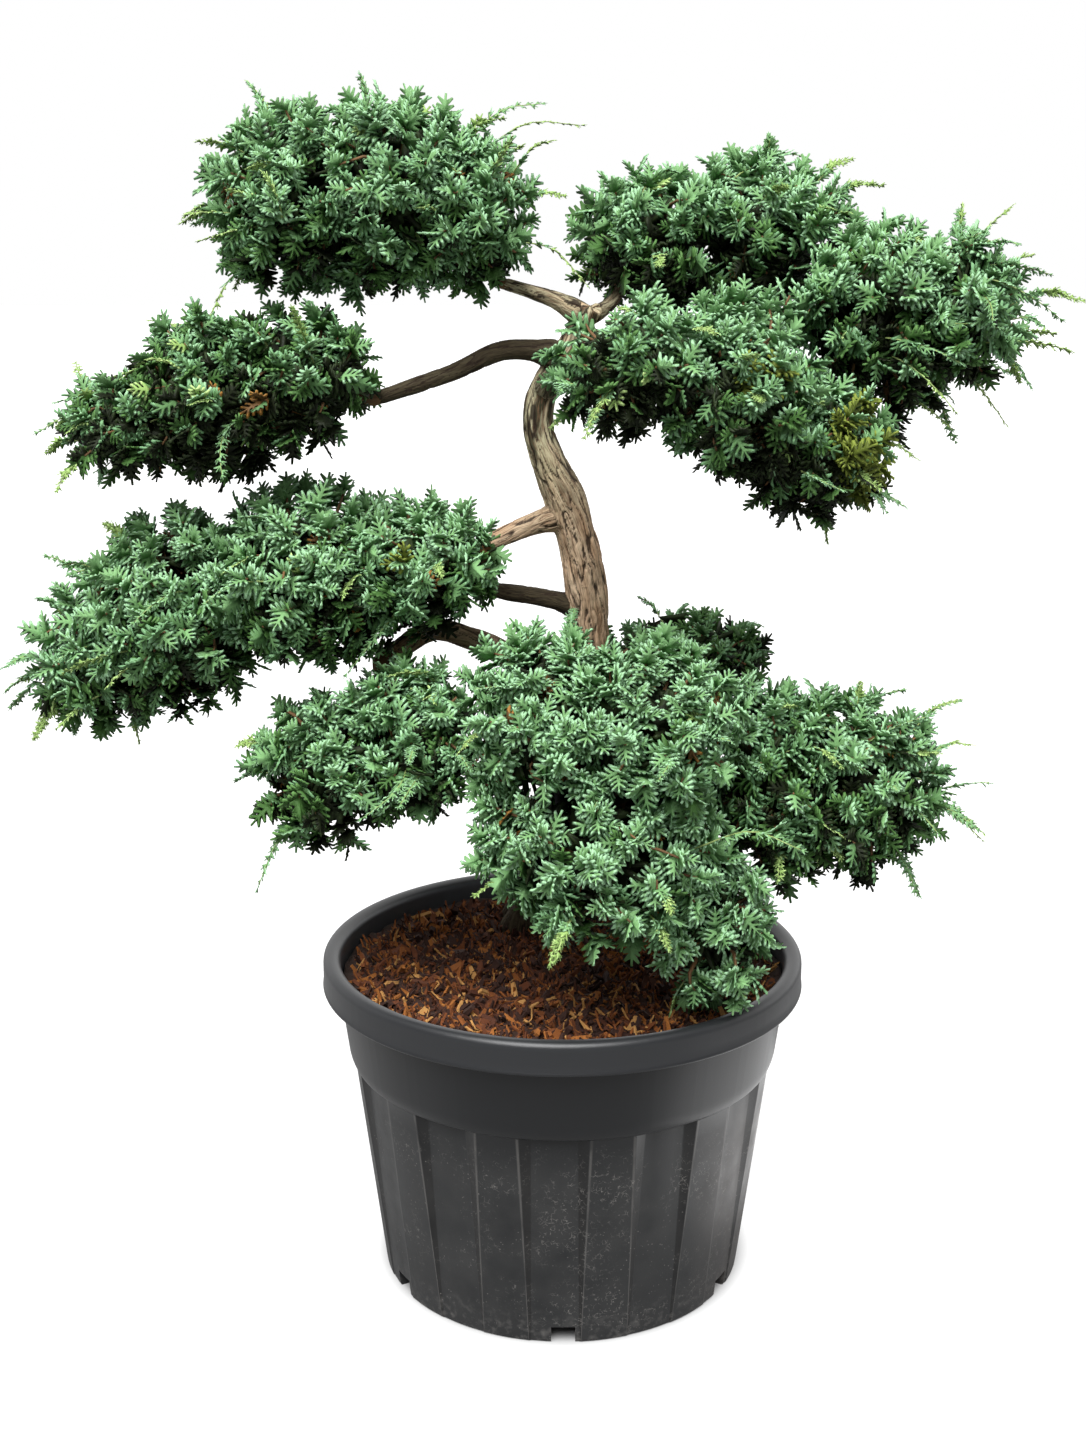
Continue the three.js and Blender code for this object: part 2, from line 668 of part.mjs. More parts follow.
const aroundTrunk = solidOf(makeTrunk(GAP));
for (const name of Object.keys(BOUGHS)) {
  juniper.add(part(`bough_${name}`, geometryFrom(makeBough(name, 0).subtract(aroundTrunk)), FINISH.bark));
}
Object.keys(FOLIAGE).forEach((name, index) => {
  juniper.add(part(`foliage_${name}`, makeFoliage(name, index), FINISH.foliage));
});

export default juniper;
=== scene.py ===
# %% [markdown]
# # A cloud-pruned juniper in a nursery pot
# A garden juniper that has been clipped into clouds for years has three very different kinds of surface:
# a moulded plastic pot, fibrous bark, and many thousands of small sprays of scale leaves.
# This lesson takes them in turn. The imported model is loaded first, so that every piece is made in its place.

# %% Load the frame
import json
import math

import bmesh
import bpy
import numpy as np
from mathutils import Matrix, Vector, noise

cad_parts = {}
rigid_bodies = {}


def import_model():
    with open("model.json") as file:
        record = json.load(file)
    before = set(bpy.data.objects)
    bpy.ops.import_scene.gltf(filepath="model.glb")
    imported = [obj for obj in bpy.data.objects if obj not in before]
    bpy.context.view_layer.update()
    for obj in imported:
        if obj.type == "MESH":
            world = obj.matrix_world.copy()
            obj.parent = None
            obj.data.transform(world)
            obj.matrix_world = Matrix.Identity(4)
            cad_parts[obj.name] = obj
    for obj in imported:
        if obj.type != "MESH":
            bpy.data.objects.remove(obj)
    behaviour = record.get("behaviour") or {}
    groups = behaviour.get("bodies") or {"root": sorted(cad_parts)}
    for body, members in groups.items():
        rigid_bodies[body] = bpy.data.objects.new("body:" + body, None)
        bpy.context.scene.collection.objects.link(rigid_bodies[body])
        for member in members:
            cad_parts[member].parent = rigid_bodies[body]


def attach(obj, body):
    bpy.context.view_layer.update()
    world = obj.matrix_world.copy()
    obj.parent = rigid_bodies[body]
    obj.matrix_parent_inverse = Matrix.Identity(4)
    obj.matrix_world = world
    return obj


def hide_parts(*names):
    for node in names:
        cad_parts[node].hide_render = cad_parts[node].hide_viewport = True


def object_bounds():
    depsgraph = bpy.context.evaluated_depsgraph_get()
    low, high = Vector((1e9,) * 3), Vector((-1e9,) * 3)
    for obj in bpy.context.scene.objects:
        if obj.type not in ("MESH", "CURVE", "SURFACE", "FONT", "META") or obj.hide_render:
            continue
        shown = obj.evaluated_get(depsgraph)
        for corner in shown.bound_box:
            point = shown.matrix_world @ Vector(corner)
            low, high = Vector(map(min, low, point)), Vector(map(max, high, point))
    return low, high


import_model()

CAD_BOX = [list(corner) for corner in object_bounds()]
print("box of the solids:", [[round(v, 3) for v in corner] for corner in CAD_BOX])

# %% [markdown]
# ## Tools that every step uses
# Colours are written as sRGB hex, as a colour picker shows them, and turned to linear light here.
# One function adds a node: a socket that is given another node's socket is linked, and the rest are set.
# A material is started, given its patterns, and ended with the shader that reads them.
# Large meshes are handed to Blender as whole arrays, which is far quicker than one vertex at a time.

# %% Colours and nodes
MM = 0.001
SEED = 17


def linear(hex_colour):
    shares = [int(hex_colour[i:i + 2], 16) / 255 for i in (1, 3, 5)]
    light = [s / 12.92 if s <= 0.04045 else ((s + 0.055) / 1.055) ** 2.4 for s in shares]
    return (*light, 1.0)


def add_node(tree, kind, sockets=None, **settings):
    node = tree.nodes.new(kind)
    for name, value in settings.items():
        setattr(node, name, value)
    for key, value in (sockets or {}).items():
        if isinstance(value, bpy.types.NodeSocket):
            tree.links.new(value, node.inputs[key])
        else:
            node.inputs[key].default_value = value
    return node


def start_material(name):
    material = bpy.data.materials.new(name)
    material.use_nodes = True
    material.node_tree.nodes.clear()
    return material, material.node_tree


def end_material(tree, sockets):
    """Adds the shader, with its constants and what was made for its sockets, and the output."""
    shader = add_node(tree, "ShaderNodeBsdfPrincipled", sockets)
    add_node(tree, "ShaderNodeOutputMaterial", {"Surface": shader.outputs["BSDF"]})


print("mid grey in linear light:", round(linear("#808080")[0], 3))

# %% Patterns


def noise_share(tree, way, sizes_mm, low, high, detail=4.0):
    """A noise of given grain sizes along x, y and z, spread so that low gives 0 and high gives 1."""
    scale = [1 / (size * MM) for size in sizes_mm]
    drawn = add_node(tree, "ShaderNodeMapping", {"Vector": way, "Scale": scale})
    grain = add_node(tree, "ShaderNodeTexNoise", {"Vector": drawn.outputs[0], "Scale": 1.0, "Detail": detail})
    spread = add_node(tree, "ShaderNodeMapRange",
                      {"Value": grain.outputs["Fac"], "From Min": low, "From Max": high})
    return spread.outputs[0]


def times(tree, *shares):
    """Several shares multiplied together."""
    product = shares[0]
    for share in shares[1:]:
        product = add_node(tree, "ShaderNodeMath", {0: product, 1: share}, operation="MULTIPLY").outputs[0]
    return product


def coated(tree, base, *coats):
    """A base colour under several coats, each given by the share that it covers and its colour."""
    for share, colour in coats:
        base = add_node(tree, "ShaderNodeMix", {0: share, 6: base, 7: colour}, data_type="RGBA").outputs[2]
    return base


print("pattern tools are ready")

# %% Meshes from arrays


def mesh_from_arrays(name, points, faces, smooth=True):
    mesh = bpy.data.meshes.new(name)
    mesh.vertices.add(len(points))
    mesh.vertices.foreach_set("co", np.asarray(points, dtype=np.float32).ravel())
    mesh.loops.add(faces.size)
    mesh.loops.foreach_set("vertex_index", faces.astype(np.int32).ravel())
    mesh.polygons.add(len(faces))
    mesh.polygons.foreach_set("loop_start", np.arange(0, faces.size, faces.shape[1], dtype=np.int32))
    mesh.polygons.foreach_set("use_smooth", np.full(len(faces), smooth))
    mesh.update(calc_edges=True)
    return mesh


def show(name, data):
    piece = bpy.data.objects.new(name, data)
    bpy.context.scene.collection.objects.link(piece)
    return piece


def plain_mesh(piece):
    """The mesh that a piece's modifiers make, as ordinary data, with the modifiers removed."""
    graph = bpy.context.evaluated_depsgraph_get()
    made = bpy.data.meshes.new_from_object(piece.evaluated_get(graph), depsgraph=graph)
    piece.modifiers.clear()
    return made


def triangle_count(mesh):
    mesh.calc_loop_triangles()
    return len(mesh.loop_triangles)


def unit(vectors):
    return vectors / np.maximum(np.linalg.norm(vectors, axis=-1, keepdims=True), 1e-9)


STORED_KINDS = {"f": ("FLOAT", np.float32), "i": ("INT", np.int32), "b": ("BOOLEAN", bool)}


def store(mesh, name, values, domain="POINT"):
    """Keeps an array on a mesh as an attribute: vectors, numbers, whole numbers, or true and false."""
    values = np.asarray(values)
    kind, number = STORED_KINDS[values.dtype.kind]
    vectors = values.ndim == 2
    stored = mesh.attributes.new(name, "FLOAT_VECTOR" if vectors else kind, domain)
    stored.data.foreach_set("vector" if vectors else "value", values.astype(number).ravel())


print("mesh tools are ready")

# %% [markdown]
# ## Camera, light and floor
# The photograph is a cut-out on white: a portrait frame, seen from a little above the middle of the plant.
# The camera was fitted to the ellipses of the pot's rim and foot, which fixes its height, tilt and lens.
# The light is that of a white studio: one broad soft key from above and in front, and a dimmer surround
# that is brightest overhead and opens the shadows. The key could be an area lamp, but a sun with a wide
# angle lights the floor evenly out to the horizon. Shiny surfaces show the room: dark round the camera, and
# white at the sides and behind, most of all at the right. The wall behind is plain white. A floor that
# bright would light the clouds from below, which the photograph doesn't show, so the camera sees the floor
# lit and the plant sees it dim. The Light Path node tells these rays apart. Under the pot the floor doesn't
# glow, which paints the shade under it, and the glow grows over a short way round the foot, which paints a
# soft contact shadow there.

# %% Camera
CAMERA_PLACE = (-0.0242, -2.1828, 1.2725)
CAMERA_TILT = 14.4972
LENS_MM = 45.81
SENSOR_MM = 36.0

camera_data = bpy.data.cameras.new("camera")
camera_data.lens = LENS_MM
camera_data.sensor_width = SENSOR_MM
camera = show("camera", camera_data)
camera.location = CAMERA_PLACE
camera.rotation_euler = (math.radians(90 - CAMERA_TILT), 0.0, 0.0)
bpy.context.scene.camera = camera
print("camera at", CAMERA_PLACE)

# %% Light
bpy.context.scene.view_settings.view_transform = "Standard"

SKY_LOW = 0.22
SKY_HIGH = 0.75
# How bright the mirrored room is: from the camera's side to the back, and from the left to the right.
ROOM_DEPTH = {"From Min": -0.35, "From Max": 0.25, "To Min": 0.1, "To Max": 1.4}
ROOM_WIDTH = {"From Min": -1.0, "To Min": 0.6, "To Max": 1.3}
surround = bpy.data.worlds.new("studio")
surround.use_nodes = True
tree = surround.node_tree
tree.nodes.clear()
way = add_node(tree, "ShaderNodeTexCoord").outputs["Generated"]
to_right, to_back, up = add_node(tree, "ShaderNodeSeparateXYZ", {"Vector": way}).outputs
sky = add_node(tree, "ShaderNodeMapRange", {"Value": up, "To Min": SKY_LOW, "To Max": SKY_HIGH})
back = add_node(tree, "ShaderNodeMapRange", {"Value": to_back, **ROOM_DEPTH})
side = add_node(tree, "ShaderNodeMapRange", {"Value": to_right, **ROOM_WIDTH})
room = times(tree, back.outputs[0], side.outputs[0])
rays = add_node(tree, "ShaderNodeLightPath").outputs
white = linear("#ffffff")
glow, mirrored, wall = [add_node(tree, "ShaderNodeBackground", {"Color": white, "Strength": light}).outputs[0]
                        for light in (sky.outputs[0], room, 1.0)]
lit = add_node(tree, "ShaderNodeMixShader", {0: rays["Is Glossy Ray"], 1: glow, 2: mirrored})
seen = add_node(tree, "ShaderNodeMixShader", {0: rays["Is Camera Ray"], 1: lit.outputs[0], 2: wall})
add_node(tree, "ShaderNodeOutputWorld", {"Surface": seen.outputs[0]})
bpy.context.scene.world = surround

KEY_STRENGTH = 6.2
KEY_SPREAD = 45
KEY_LIFT = 58
KEY_TURN = -14
key = bpy.data.lights.new("key", "SUN")
key.energy = KEY_STRENGTH
key.angle = math.radians(KEY_SPREAD)
show("key", key).rotation_euler = (math.radians(90 - KEY_LIFT), 0.0, math.radians(KEY_TURN))
print("surround and key light set")

# %% Floor
FLOOR_HALF = 40.0
FLOOR_GLOW = 0.86
# Inside this ring the floor glows less to the camera: painted shade under the pot and a painted contact shadow
# round its foot.
PAINTED_SHADOW_RING = (0.205, 0.258)  # distance from the pot's axis where the glow starts, and where it is full
floor_corners = np.array([[-1, -1, 0], [1, -1, 0], [1, 1, 0], [-1, 1, 0]]) * FLOOR_HALF
floor = show("floor", mesh_from_arrays("floor", floor_corners, np.array([[0, 1, 2, 3]])))
floor_white, tree = start_material("lit_white_acrylic")
place = add_node(tree, "ShaderNodeTexCoord").outputs["Object"]
apart = add_node(tree, "ShaderNodeVectorMath", {0: place}, operation="LENGTH").outputs["Value"]
glow_outside_painted_shadow = add_node(tree, "ShaderNodeMapRange",
                      {"Value": apart, "From Min": PAINTED_SHADOW_RING[0], "From Max": PAINTED_SHADOW_RING[1],
                       "To Max": FLOOR_GLOW}, interpolation_type="SMOOTHSTEP")
to_camera = add_node(tree, "ShaderNodeLightPath").outputs["Is Camera Ray"]
end_material(tree, {"Base Color": linear("#8a8a8a"), "Roughness": 0.9, "Emission Color": white,
                    "Emission Strength": times(tree, to_camera, glow_outside_painted_shadow.outputs[0])})
floor.data.materials.append(floor_white)
print("floor laid")

# %% [markdown]
# ## The pot
# A nursery pot of this size is one injection moulding in polypropylene. Its body has twelve raised panels,
# a plain band runs round above them, and the rim is rolled over into a hollow collar for lifting it by.
# A spin of one profile would give a smooth body, so the panels could be added with Booleans. It is simpler
# to turn the profile column by column, and to pull the columns between two panels in towards the axis. The
# panels stand out less towards the foot, and so the slopes at their edges narrow down to a line there.

# %% Pot profile
POT = {"rim": 300, "top": 420, "foot": 229, "shoulder": 263.4, "band": 284, "belly": 271, "collar": 380}
POT_WALL = 4
POT_MOUTH = 277
POT_PANELS = 24
POT_FIRST_EDGE = 5.0
POT_EDGE_HALF = 1.6
POT_EDGE_SHARES = (0.2, 1.0)  # how wide the slope at a panel's edge is at the foot, and under the band
POT_DEPTHS = (1.0, 7.5)


def arc(centre, radii, start, end, steps):
    turns = np.radians(np.linspace(start, end, steps))
    return [(centre[0] + radii[0] * math.cos(a), centre[1] + radii[1] * math.sin(a)) for a in turns]


def climb(first, last, steps):
    return [tuple(p) for p in np.linspace(first, last, steps)]


foot, collar = POT["foot"], POT["collar"]
under = [(0, 0), (58.5, 0), (60, 1.5), (60, 24)]
under += [(foot - 30, 24), (foot - 30, 1.5), (foot - 28.5, 0), (foot - 4, 0)]
body = arc((foot - 4, 4), (4, 4), -80, -6, 5)
body += climb((foot + 0.6, 8), (POT["shoulder"], POT["band"] - 1), 12)
band = [(264.2, 284.2), (265.2, 284.8), (266.2, 286.4), (267.6, 289.5), (269.2, 294), (270.3, 299)]
band += climb((POT["belly"], 304), (POT_MOUTH + POT_WALL, collar), 6)
hollow = [(282, 404), (283.5, 407), (294.5, 407), (296, 405), (296, collar + 3)]
lip = arc((298.4, collar + 2.6), (2.6, 2.6), 180, 400, 10) + climb((300, collar + 6), (300, 410), 4)
roll = arc((291, 411), (9, 9), 0, 90, 9) + arc((289.5, 408), (11.5, 12), 95, 180, 9)
inside = climb((278, 405), (POT_MOUTH, collar), 3) + climb((276.6, 376), (251.9, 284), 4)
inside += [(224, 29), (0, 29)]
profile = np.array(under + body + band + hollow + lip + roll + inside)
on_panel = np.zeros(len(profile))
on_panel[len(under):len(under) + len(body)] = 1.0
print("pot profile points:", len(profile))

# %% Pot mesh
# Across an edge: places in half widths, and how far the wall stands out there.
PANEL_EDGE = [(-1.2, 0.0), (-0.9, 0.05), (0.82, 0.93), (0.96, 1.0), (1.2, 1.0)]
EDGE_REACH = 1.5  # half widths from the middle of an edge to where the wall is plain
FLAT_COLUMNS = 4
WELD = 1e-6


def panel_columns():
    """For each column a fixed angle, an offset from it, and how far it stands out: 1 on a raised panel."""
    step = 360 / POT_PANELS
    reach = EDGE_REACH * POT_EDGE_HALF
    made = []
    for k in range(POT_PANELS):
        middle = POT_FIRST_EDGE + step * k
        rising = k % 2 == 0
        corner = PANEL_EDGE if rising else [(-a, h) for a, h in reversed(PANEL_EDGE)]
        made += [(middle, POT_EDGE_HALF * a, h) for a, h in corner]
        flat = np.linspace(middle + reach, middle + step - reach, FLAT_COLUMNS + 2)[1:-1]
        made += [(a, 0.0, 1.0 if rising else 0.0) for a in flat]
    return np.array(made)


def ring_quads(around, along):
    """Faces of a closed ring of columns, which face outwards where the column climbs."""
    i, j = np.meshgrid(np.arange(around), np.arange(along - 1), indexing="ij")
    a = i * along + j
    b = ((i + 1) % around) * along + j
    return np.stack([a, b, b + 1, a + 1], axis=-1).reshape(-1, 4)


def weld(mesh):
    loose = bmesh.new()
    loose.from_mesh(mesh)
    bmesh.ops.remove_doubles(loose, verts=loose.verts, dist=WELD)
    bmesh.ops.dissolve_degenerate(loose, edges=loose.edges, dist=WELD)
    loose.to_mesh(mesh)
    loose.free()


columns = panel_columns()
edge_shares = np.interp(profile[:, 1], (0, POT["band"]), POT_EDGE_SHARES)
edge_shares[len(under) + len(body):] = POT_EDGE_SHARES[1]
turns = np.radians(columns[:, :1] + columns[:, 1:2] * edge_shares[None, :])
depths = np.interp(profile[:, 1], (0, POT["band"]), POT_DEPTHS) * on_panel
radii = profile[None, :, 0] - (1 - columns[:, 2:]) * depths[None, :]
heights = np.broadcast_to(profile[None, :, 1], radii.shape)
pot_points = np.stack([radii * np.sin(turns), -radii * np.cos(turns), heights], axis=-1) * MM
pot = show("pot_shell", mesh_from_arrays("pot_shell", pot_points.reshape(-1, 3), ring_quads(*radii.shape)))
weld(pot.data)
print("pot triangles:", triangle_count(pot.data))

# %% Drain notches
NOTCHES = 6
NOTCH_SIZE = (29, 90, 44)
SHARP_ANGLE = 28


def notch_boxes():
    boxes = bmesh.new()
    for k in range(NOTCHES):
        corners = bmesh.ops.create_cube(boxes, size=1.0)["verts"]
        bmesh.ops.scale(boxes, vec=Vector(NOTCH_SIZE) * MM, verts=corners)
        bmesh.ops.translate(boxes, vec=Vector((0, -POT["foot"] * MM, 0)), verts=corners)
        spin = Matrix.Rotation(2 * math.pi * k / NOTCHES, 3, "Z")
        bmesh.ops.rotate(boxes, cent=(0, 0, 0), matrix=spin, verts=corners)
    mesh = bpy.data.meshes.new("notches")
    boxes.to_mesh(mesh)
    boxes.free()
    return show("notches", mesh)


notches = notch_boxes()
cut = pot.modifiers.new("notches", "BOOLEAN")
cut.operation = "DIFFERENCE"
cut.solver = "EXACT"
cut.object = notches
pot.data = plain_mesh(pot)
bpy.data.objects.remove(notches)
pot.data.set_sharp_from_angle(angle=math.radians(SHARP_ANGLE))
print("pot triangles with notches:", triangle_count(pot.data))

# %% [markdown]
# ### Charcoal polypropylene
# Moulded polypropylene is satin rather than glossy, with an IOR near 1.49 and a faint orange peel.
# A pot that has stood in a nursery is dusty and scuffed: pale specks, and fine curled scratches that come in
# patches on the body and thin out towards the band. The rim, the inner wall below it and the right flank are
# painted paler as painted light, a painted highlight runs pale along the corners of the panels, and the slopes
# beside them are painted near black as painted shade.
# Photographed dirt would be quick, but it would not fit another view, so specks are the middles of Voronoi
# cells, scratches are bent cell edges, and noise breaks both up. The bearing round the pot finds the slopes.

# %% Places on the pot
PANEL_STEP = math.radians(360 / POT_PANELS)
FIRST_MIDDLE = math.radians(POT_FIRST_EDGE) + PANEL_STEP / 2
EDGE_HALVES = [share * math.radians(POT_EDGE_HALF) for share in POT_EDGE_SHARES]
CORNER_PLACE = -1.2  # in half widths of an edge
pot_plastic, tree = start_material("charcoal_polypropylene")
place = add_node(tree, "ShaderNodeTexCoord").outputs["Object"]
across, depth, height = add_node(tree, "ShaderNodeSeparateXYZ", {"Vector": place}).outputs
level = add_node(tree, "ShaderNodeVectorMath", {0: place, 1: (1.0, 1.0, 0.0)}, operation="MULTIPLY")
reach = add_node(tree, "ShaderNodeVectorMath", {0: level.outputs[0]}, operation="LENGTH").outputs["Value"]
edge_half = add_node(tree, "ShaderNodeMapRange", {"Value": height, "From Max": POT["band"] * MM,
                                                  "To Min": EDGE_HALVES[0], "To Max": EDGE_HALVES[1]})
# The bearing becomes the place across an edge: -1 is the raised corner, 1 the foot of the slope.
to_front = times(tree, depth, -1.0)
edge = add_node(tree, "ShaderNodeMath", {0: across, 1: to_front}, operation="ARCTAN2").outputs[0]
for operation, value in (("SUBTRACT", FIRST_MIDDLE), ("PINGPONG", PANEL_STEP),
                         ("SUBTRACT", PANEL_STEP / 2), ("DIVIDE", edge_half.outputs[0])):
    edge = add_node(tree, "ShaderNodeMath", {0: edge, 1: value}, operation=operation).outputs[0]
past_corner = add_node(tree, "ShaderNodeMath", {0: edge, 1: CORNER_PLACE}, operation="SUBTRACT").outputs[0]
beside, off_corner = [add_node(tree, "ShaderNodeMath", {0: value}, operation="ABSOLUTE").outputs[0]
                      for value in (edge, past_corner)]
print("half width of an edge, in radians:", [round(half, 4) for half in EDGE_HALVES])

# %% Pot marks
SPECK_GAP = 5.5
SCRATCH_GAP = 6.5
SCRATCH_SWAY = (8, 12)  # length of the bends in a scratch, and how far they go
cells = add_node(tree, "ShaderNodeTexVoronoi", {"Vector": place, "Scale": 1 / (SPECK_GAP * MM)})
sway = add_node(tree, "ShaderNodeTexNoise",
                {"Vector": place, "Scale": 1 / (SCRATCH_SWAY[0] * MM), "Detail": 2.0})
bent = add_node(tree, "ShaderNodeVectorMath",
                {0: sway.outputs["Color"], 1: (SCRATCH_SWAY[1] * MM,) * 3, 2: place},
                operation="MULTIPLY_ADD")
edges = add_node(tree, "ShaderNodeTexVoronoi", {"Vector": bent.outputs[0], "Scale": 1 / (SCRATCH_GAP * MM)},
                 feature="DISTANCE_TO_EDGE")
# Each mark: what it is read from, the value where it starts, and the value where it is full.
MARKS = {
    "slope": (beside, 1.0, 0.8),
    "corner": (off_corner, 0.32, 0.1),
    "body": (height, 0.285, 0.22),
    "below_band": (height, 0.2845, 0.2825),
    "foot": (height, 0.05, 0.0),
    # The right flank, where the pale tone is painted light.
    "sun": (across, 0.15, 0.26),
    "rim": (height, 0.376, 0.386),
    "mouth": (reach, 0.281, 0.279),
    "specks": (cells.outputs["Distance"], 0.17, 0.1),
    "scratches": (edges.outputs["Distance"], 0.04, 0.015),
}
marks = {}
for name, (value, start, full) in MARKS.items():
    spread = add_node(tree, "ShaderNodeMapRange", {"Value": value, "From Min": start, "From Max": full})
    marks[name] = spread.outputs[0]
# What breaks the marks up: grain in millimetres, the noise where a patch starts and is full, and detail.
PATCHES = {
    "worn": (150, 0.2, 0.6, 4.0),
    "sun": (60, 0.1, 0.6, 4.0),
    "corner": (40, 0.25, 0.55, 4.0),
    "specks": (42, 0.46, 0.62, 4.0),
    "scratches": (75, 0.46, 0.6, 4.0),
    "scratch_gaps": (8, 0.5, 0.6, 4.0),
    "foot": (9, 0.5, 0.9, 6.0),
    "film": (38, 0.3, 0.8, 7.0),
}
patches = {name: noise_share(tree, place, (size,) * 3, *rest) for name, (size, *rest) in PATCHES.items()}
print("marks on the pot:", ", ".join(marks))

# %% Pot finish
POT_GREY = linear("#111214")
# The near-black tone on the slopes beside the panel corners is painted shade.
POT_SLOPE_PAINTED_SHADE = linear("#09090a")
POT_WORN = linear("#1f2021")
# The paler rim tone is painted light on the rim.
POT_RIM_PAINTED_LIGHT = linear("#232426")
# The light grey inside tone is painted light on the shaded inner wall under the rim.
POT_INSIDE_PAINTED_LIGHT = linear("#45484c")
# The warm pale tone on the right flank is painted light.
POT_FLANK_PAINTED_LIGHT = linear("#4a4543")
# The dust colour also carries the painted highlight along the raised corners.
POT_DUST_AND_HIGHLIGHT = linear("#aaa6a1")
CORNER_PAINTED_HIGHLIGHT = 0.42
DIRT_AND_HIGHLIGHT_STRENGTH = 0.3
FILM_STRENGTH = 0.035
SATIN = (0.38, 0.6)  # roughness where the pot is clean, and under a film of dust
PEEL_SIZE = 2.5
film = times(tree, patches["film"], marks["body"])
# Real specks, scratches and foot dust, together with the painted highlight along the raised corners.
dirt_and_highlight = times(tree, marks["specks"], patches["specks"], marks["body"])
for more in (times(tree, marks["scratches"], patches["scratches"], patches["scratch_gaps"], marks["body"]),
             times(tree, marks["foot"], patches["foot"]),
             times(tree, marks["corner"], CORNER_PAINTED_HIGHLIGHT, marks["below_band"], patches["corner"])):
    dirt_and_highlight = add_node(tree, "ShaderNodeMath", {0: dirt_and_highlight, 1: more}, operation="MAXIMUM").outputs[0]
pot_colour = coated(tree, POT_GREY,
                    (marks["rim"], POT_RIM_PAINTED_LIGHT),
                    (times(tree, marks["mouth"], marks["rim"]), POT_INSIDE_PAINTED_LIGHT),
                    (times(tree, patches["worn"], marks["body"]), POT_WORN),
                    (times(tree, marks["sun"], marks["body"], patches["sun"]), POT_FLANK_PAINTED_LIGHT),
                    (times(tree, marks["slope"], marks["below_band"]), POT_SLOPE_PAINTED_SHADE),
                    (times(tree, film, FILM_STRENGTH), POT_DUST_AND_HIGHLIGHT),
                    (times(tree, dirt_and_highlight, DIRT_AND_HIGHLIGHT_STRENGTH), POT_DUST_AND_HIGHLIGHT))
sheen = add_node(tree, "ShaderNodeMapRange", {"Value": film, "To Min": SATIN[0], "To Max": SATIN[1]})
peel = add_node(tree, "ShaderNodeTexNoise", {"Vector": place, "Scale": 1 / (PEEL_SIZE * MM), "Detail": 3.0})
bumps = add_node(tree, "ShaderNodeBump",
                 {"Height": peel.outputs["Fac"], "Strength": 0.1, "Distance": 0.6 * MM})
end_material(tree, {"IOR": 1.49, "Specular IOR Level": 0.45, "Base Color": pot_colour,
                    "Roughness": sheen.outputs[0], "Normal": bumps.outputs["Normal"]})
pot.data.materials.clear()
pot.data.materials.append(pot_plastic)
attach(pot, "root")
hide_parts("pot")
print("pot finished in", pot_plastic.name)

# %% [markdown]
# ### Edge light for the pot
# Seen from above, the wall of the pot mirrors the floor beside it, and in the photograph that floor is
# bright at both sides: it draws a line along every panel's edge and lifts the right flank. A floor that
# glowed would light the clouds from below too. So two panel lamps lie on the floor, and light linking lets
# them light the pot alone.

# %% Panel lamps
pot_only = bpy.data.collections.new("pot_only")
pot_only.objects.link(pot)
PANEL_SIZE = (0.5, 0.9)
# Each panel: how far to the right of the pot's axis it lies, and its power in watts.
PANELS = {"panel_left": (-0.58, 0.25), "panel_right": (0.58, 2.1)}
PANEL_BACK = 0.05
PANEL_HEIGHT = 0.01
for name, (to_side, watts) in PANELS.items():
    lamp = bpy.data.lights.new(name, "AREA")
    lamp.shape = "RECTANGLE"
    lamp.size, lamp.size_y = PANEL_SIZE
    lamp.energy = watts
    panel = show(name, lamp)
    panel.location = (to_side, PANEL_BACK, PANEL_HEIGHT)
    panel.rotation_euler = (math.pi, 0.0, 0.0)
    panel.visible_camera = False
    panel.light_linking.receiver_collection = pot_only
print("panel lamps:", len(PANELS))

# %% [markdown]
# ## The mulch bed
# The pot is filled with bark compost: a dark crumbly bed with shreds and flakes of bark lying every way.
# A bump map would do from far off, but at this size the eye picks out single flakes and their shadows.
# So the bed is a rough closed plug, and Geometry Nodes scatter some thousands of small flakes over its top.

# %% Mulch bed
SOIL_LEVEL = 395
SOIL_RADIUS = 275.5
SOIL_BASE = 335
SOIL_BASE_RADIUS = 252
BED_SUNK = 5  # how far the bed lies below the level that its flakes reach
BED_WAVES = (70, 2.2)  # length and height
BED_CRUMBS = (13, 3.4)
BED_RINGS = 44
BED_COLUMNS = 150


def bed_height(x, y):
    broad = noise.noise(Vector((x / BED_WAVES[0], y / BED_WAVES[0], 3.1)))
    fine = noise.fractal(Vector((x / BED_CRUMBS[0], y / BED_CRUMBS[0], 7.7)), 0.9, 2.0, 4)
    return SOIL_LEVEL - BED_SUNK + BED_WAVES[1] * broad + BED_CRUMBS[1] * fine


def bed_column(turn):
    x, y = math.cos(turn), math.sin(turn)
    flat = [(0, 0, SOIL_BASE), (SOIL_BASE_RADIUS * x, SOIL_BASE_RADIUS * y, SOIL_BASE)]
    reach = [(r * x, r * y) for r in np.linspace(SOIL_RADIUS, 0, BED_RINGS)]
    return flat + [(*point, bed_height(*point)) for point in reach]


bed_columns = [bed_column(2 * math.pi * k / BED_COLUMNS) for k in range(BED_COLUMNS)]
bed_points = np.array(bed_columns) * MM
bed_mesh = mesh_from_arrays("mulch_bed", bed_points.reshape(-1, 3), ring_quads(*bed_points.shape[:2]))
weld(bed_mesh)
bed = show("mulch_bed", bed_mesh)
print("bed triangles:", triangle_count(bed_mesh))

# %% Bark flakes
# Six shapes stand for every scrap. Each is a four-sided strip of a few faces, one unit long, which the
# scatter makes smaller and turns. The numbers are its width, its thickness and its bend, in radians.
FLAKES = [
    (0.20, 0.08, 0.7),
    (0.34, 0.14, 0.6),
    (0.13, 0.07, 1.3),
    (0.10, 0.06, 2.4),
    (0.08, 0.06, 3.6),
    (0.07, 0.05, 1.8),
]
FLAKE_OUTLINE = [0.5, 1.0, 0.9, 0.4]
FLAKE_RAGGED = (0.75, 1.2)
FLAKE_SHAKE = 0.02


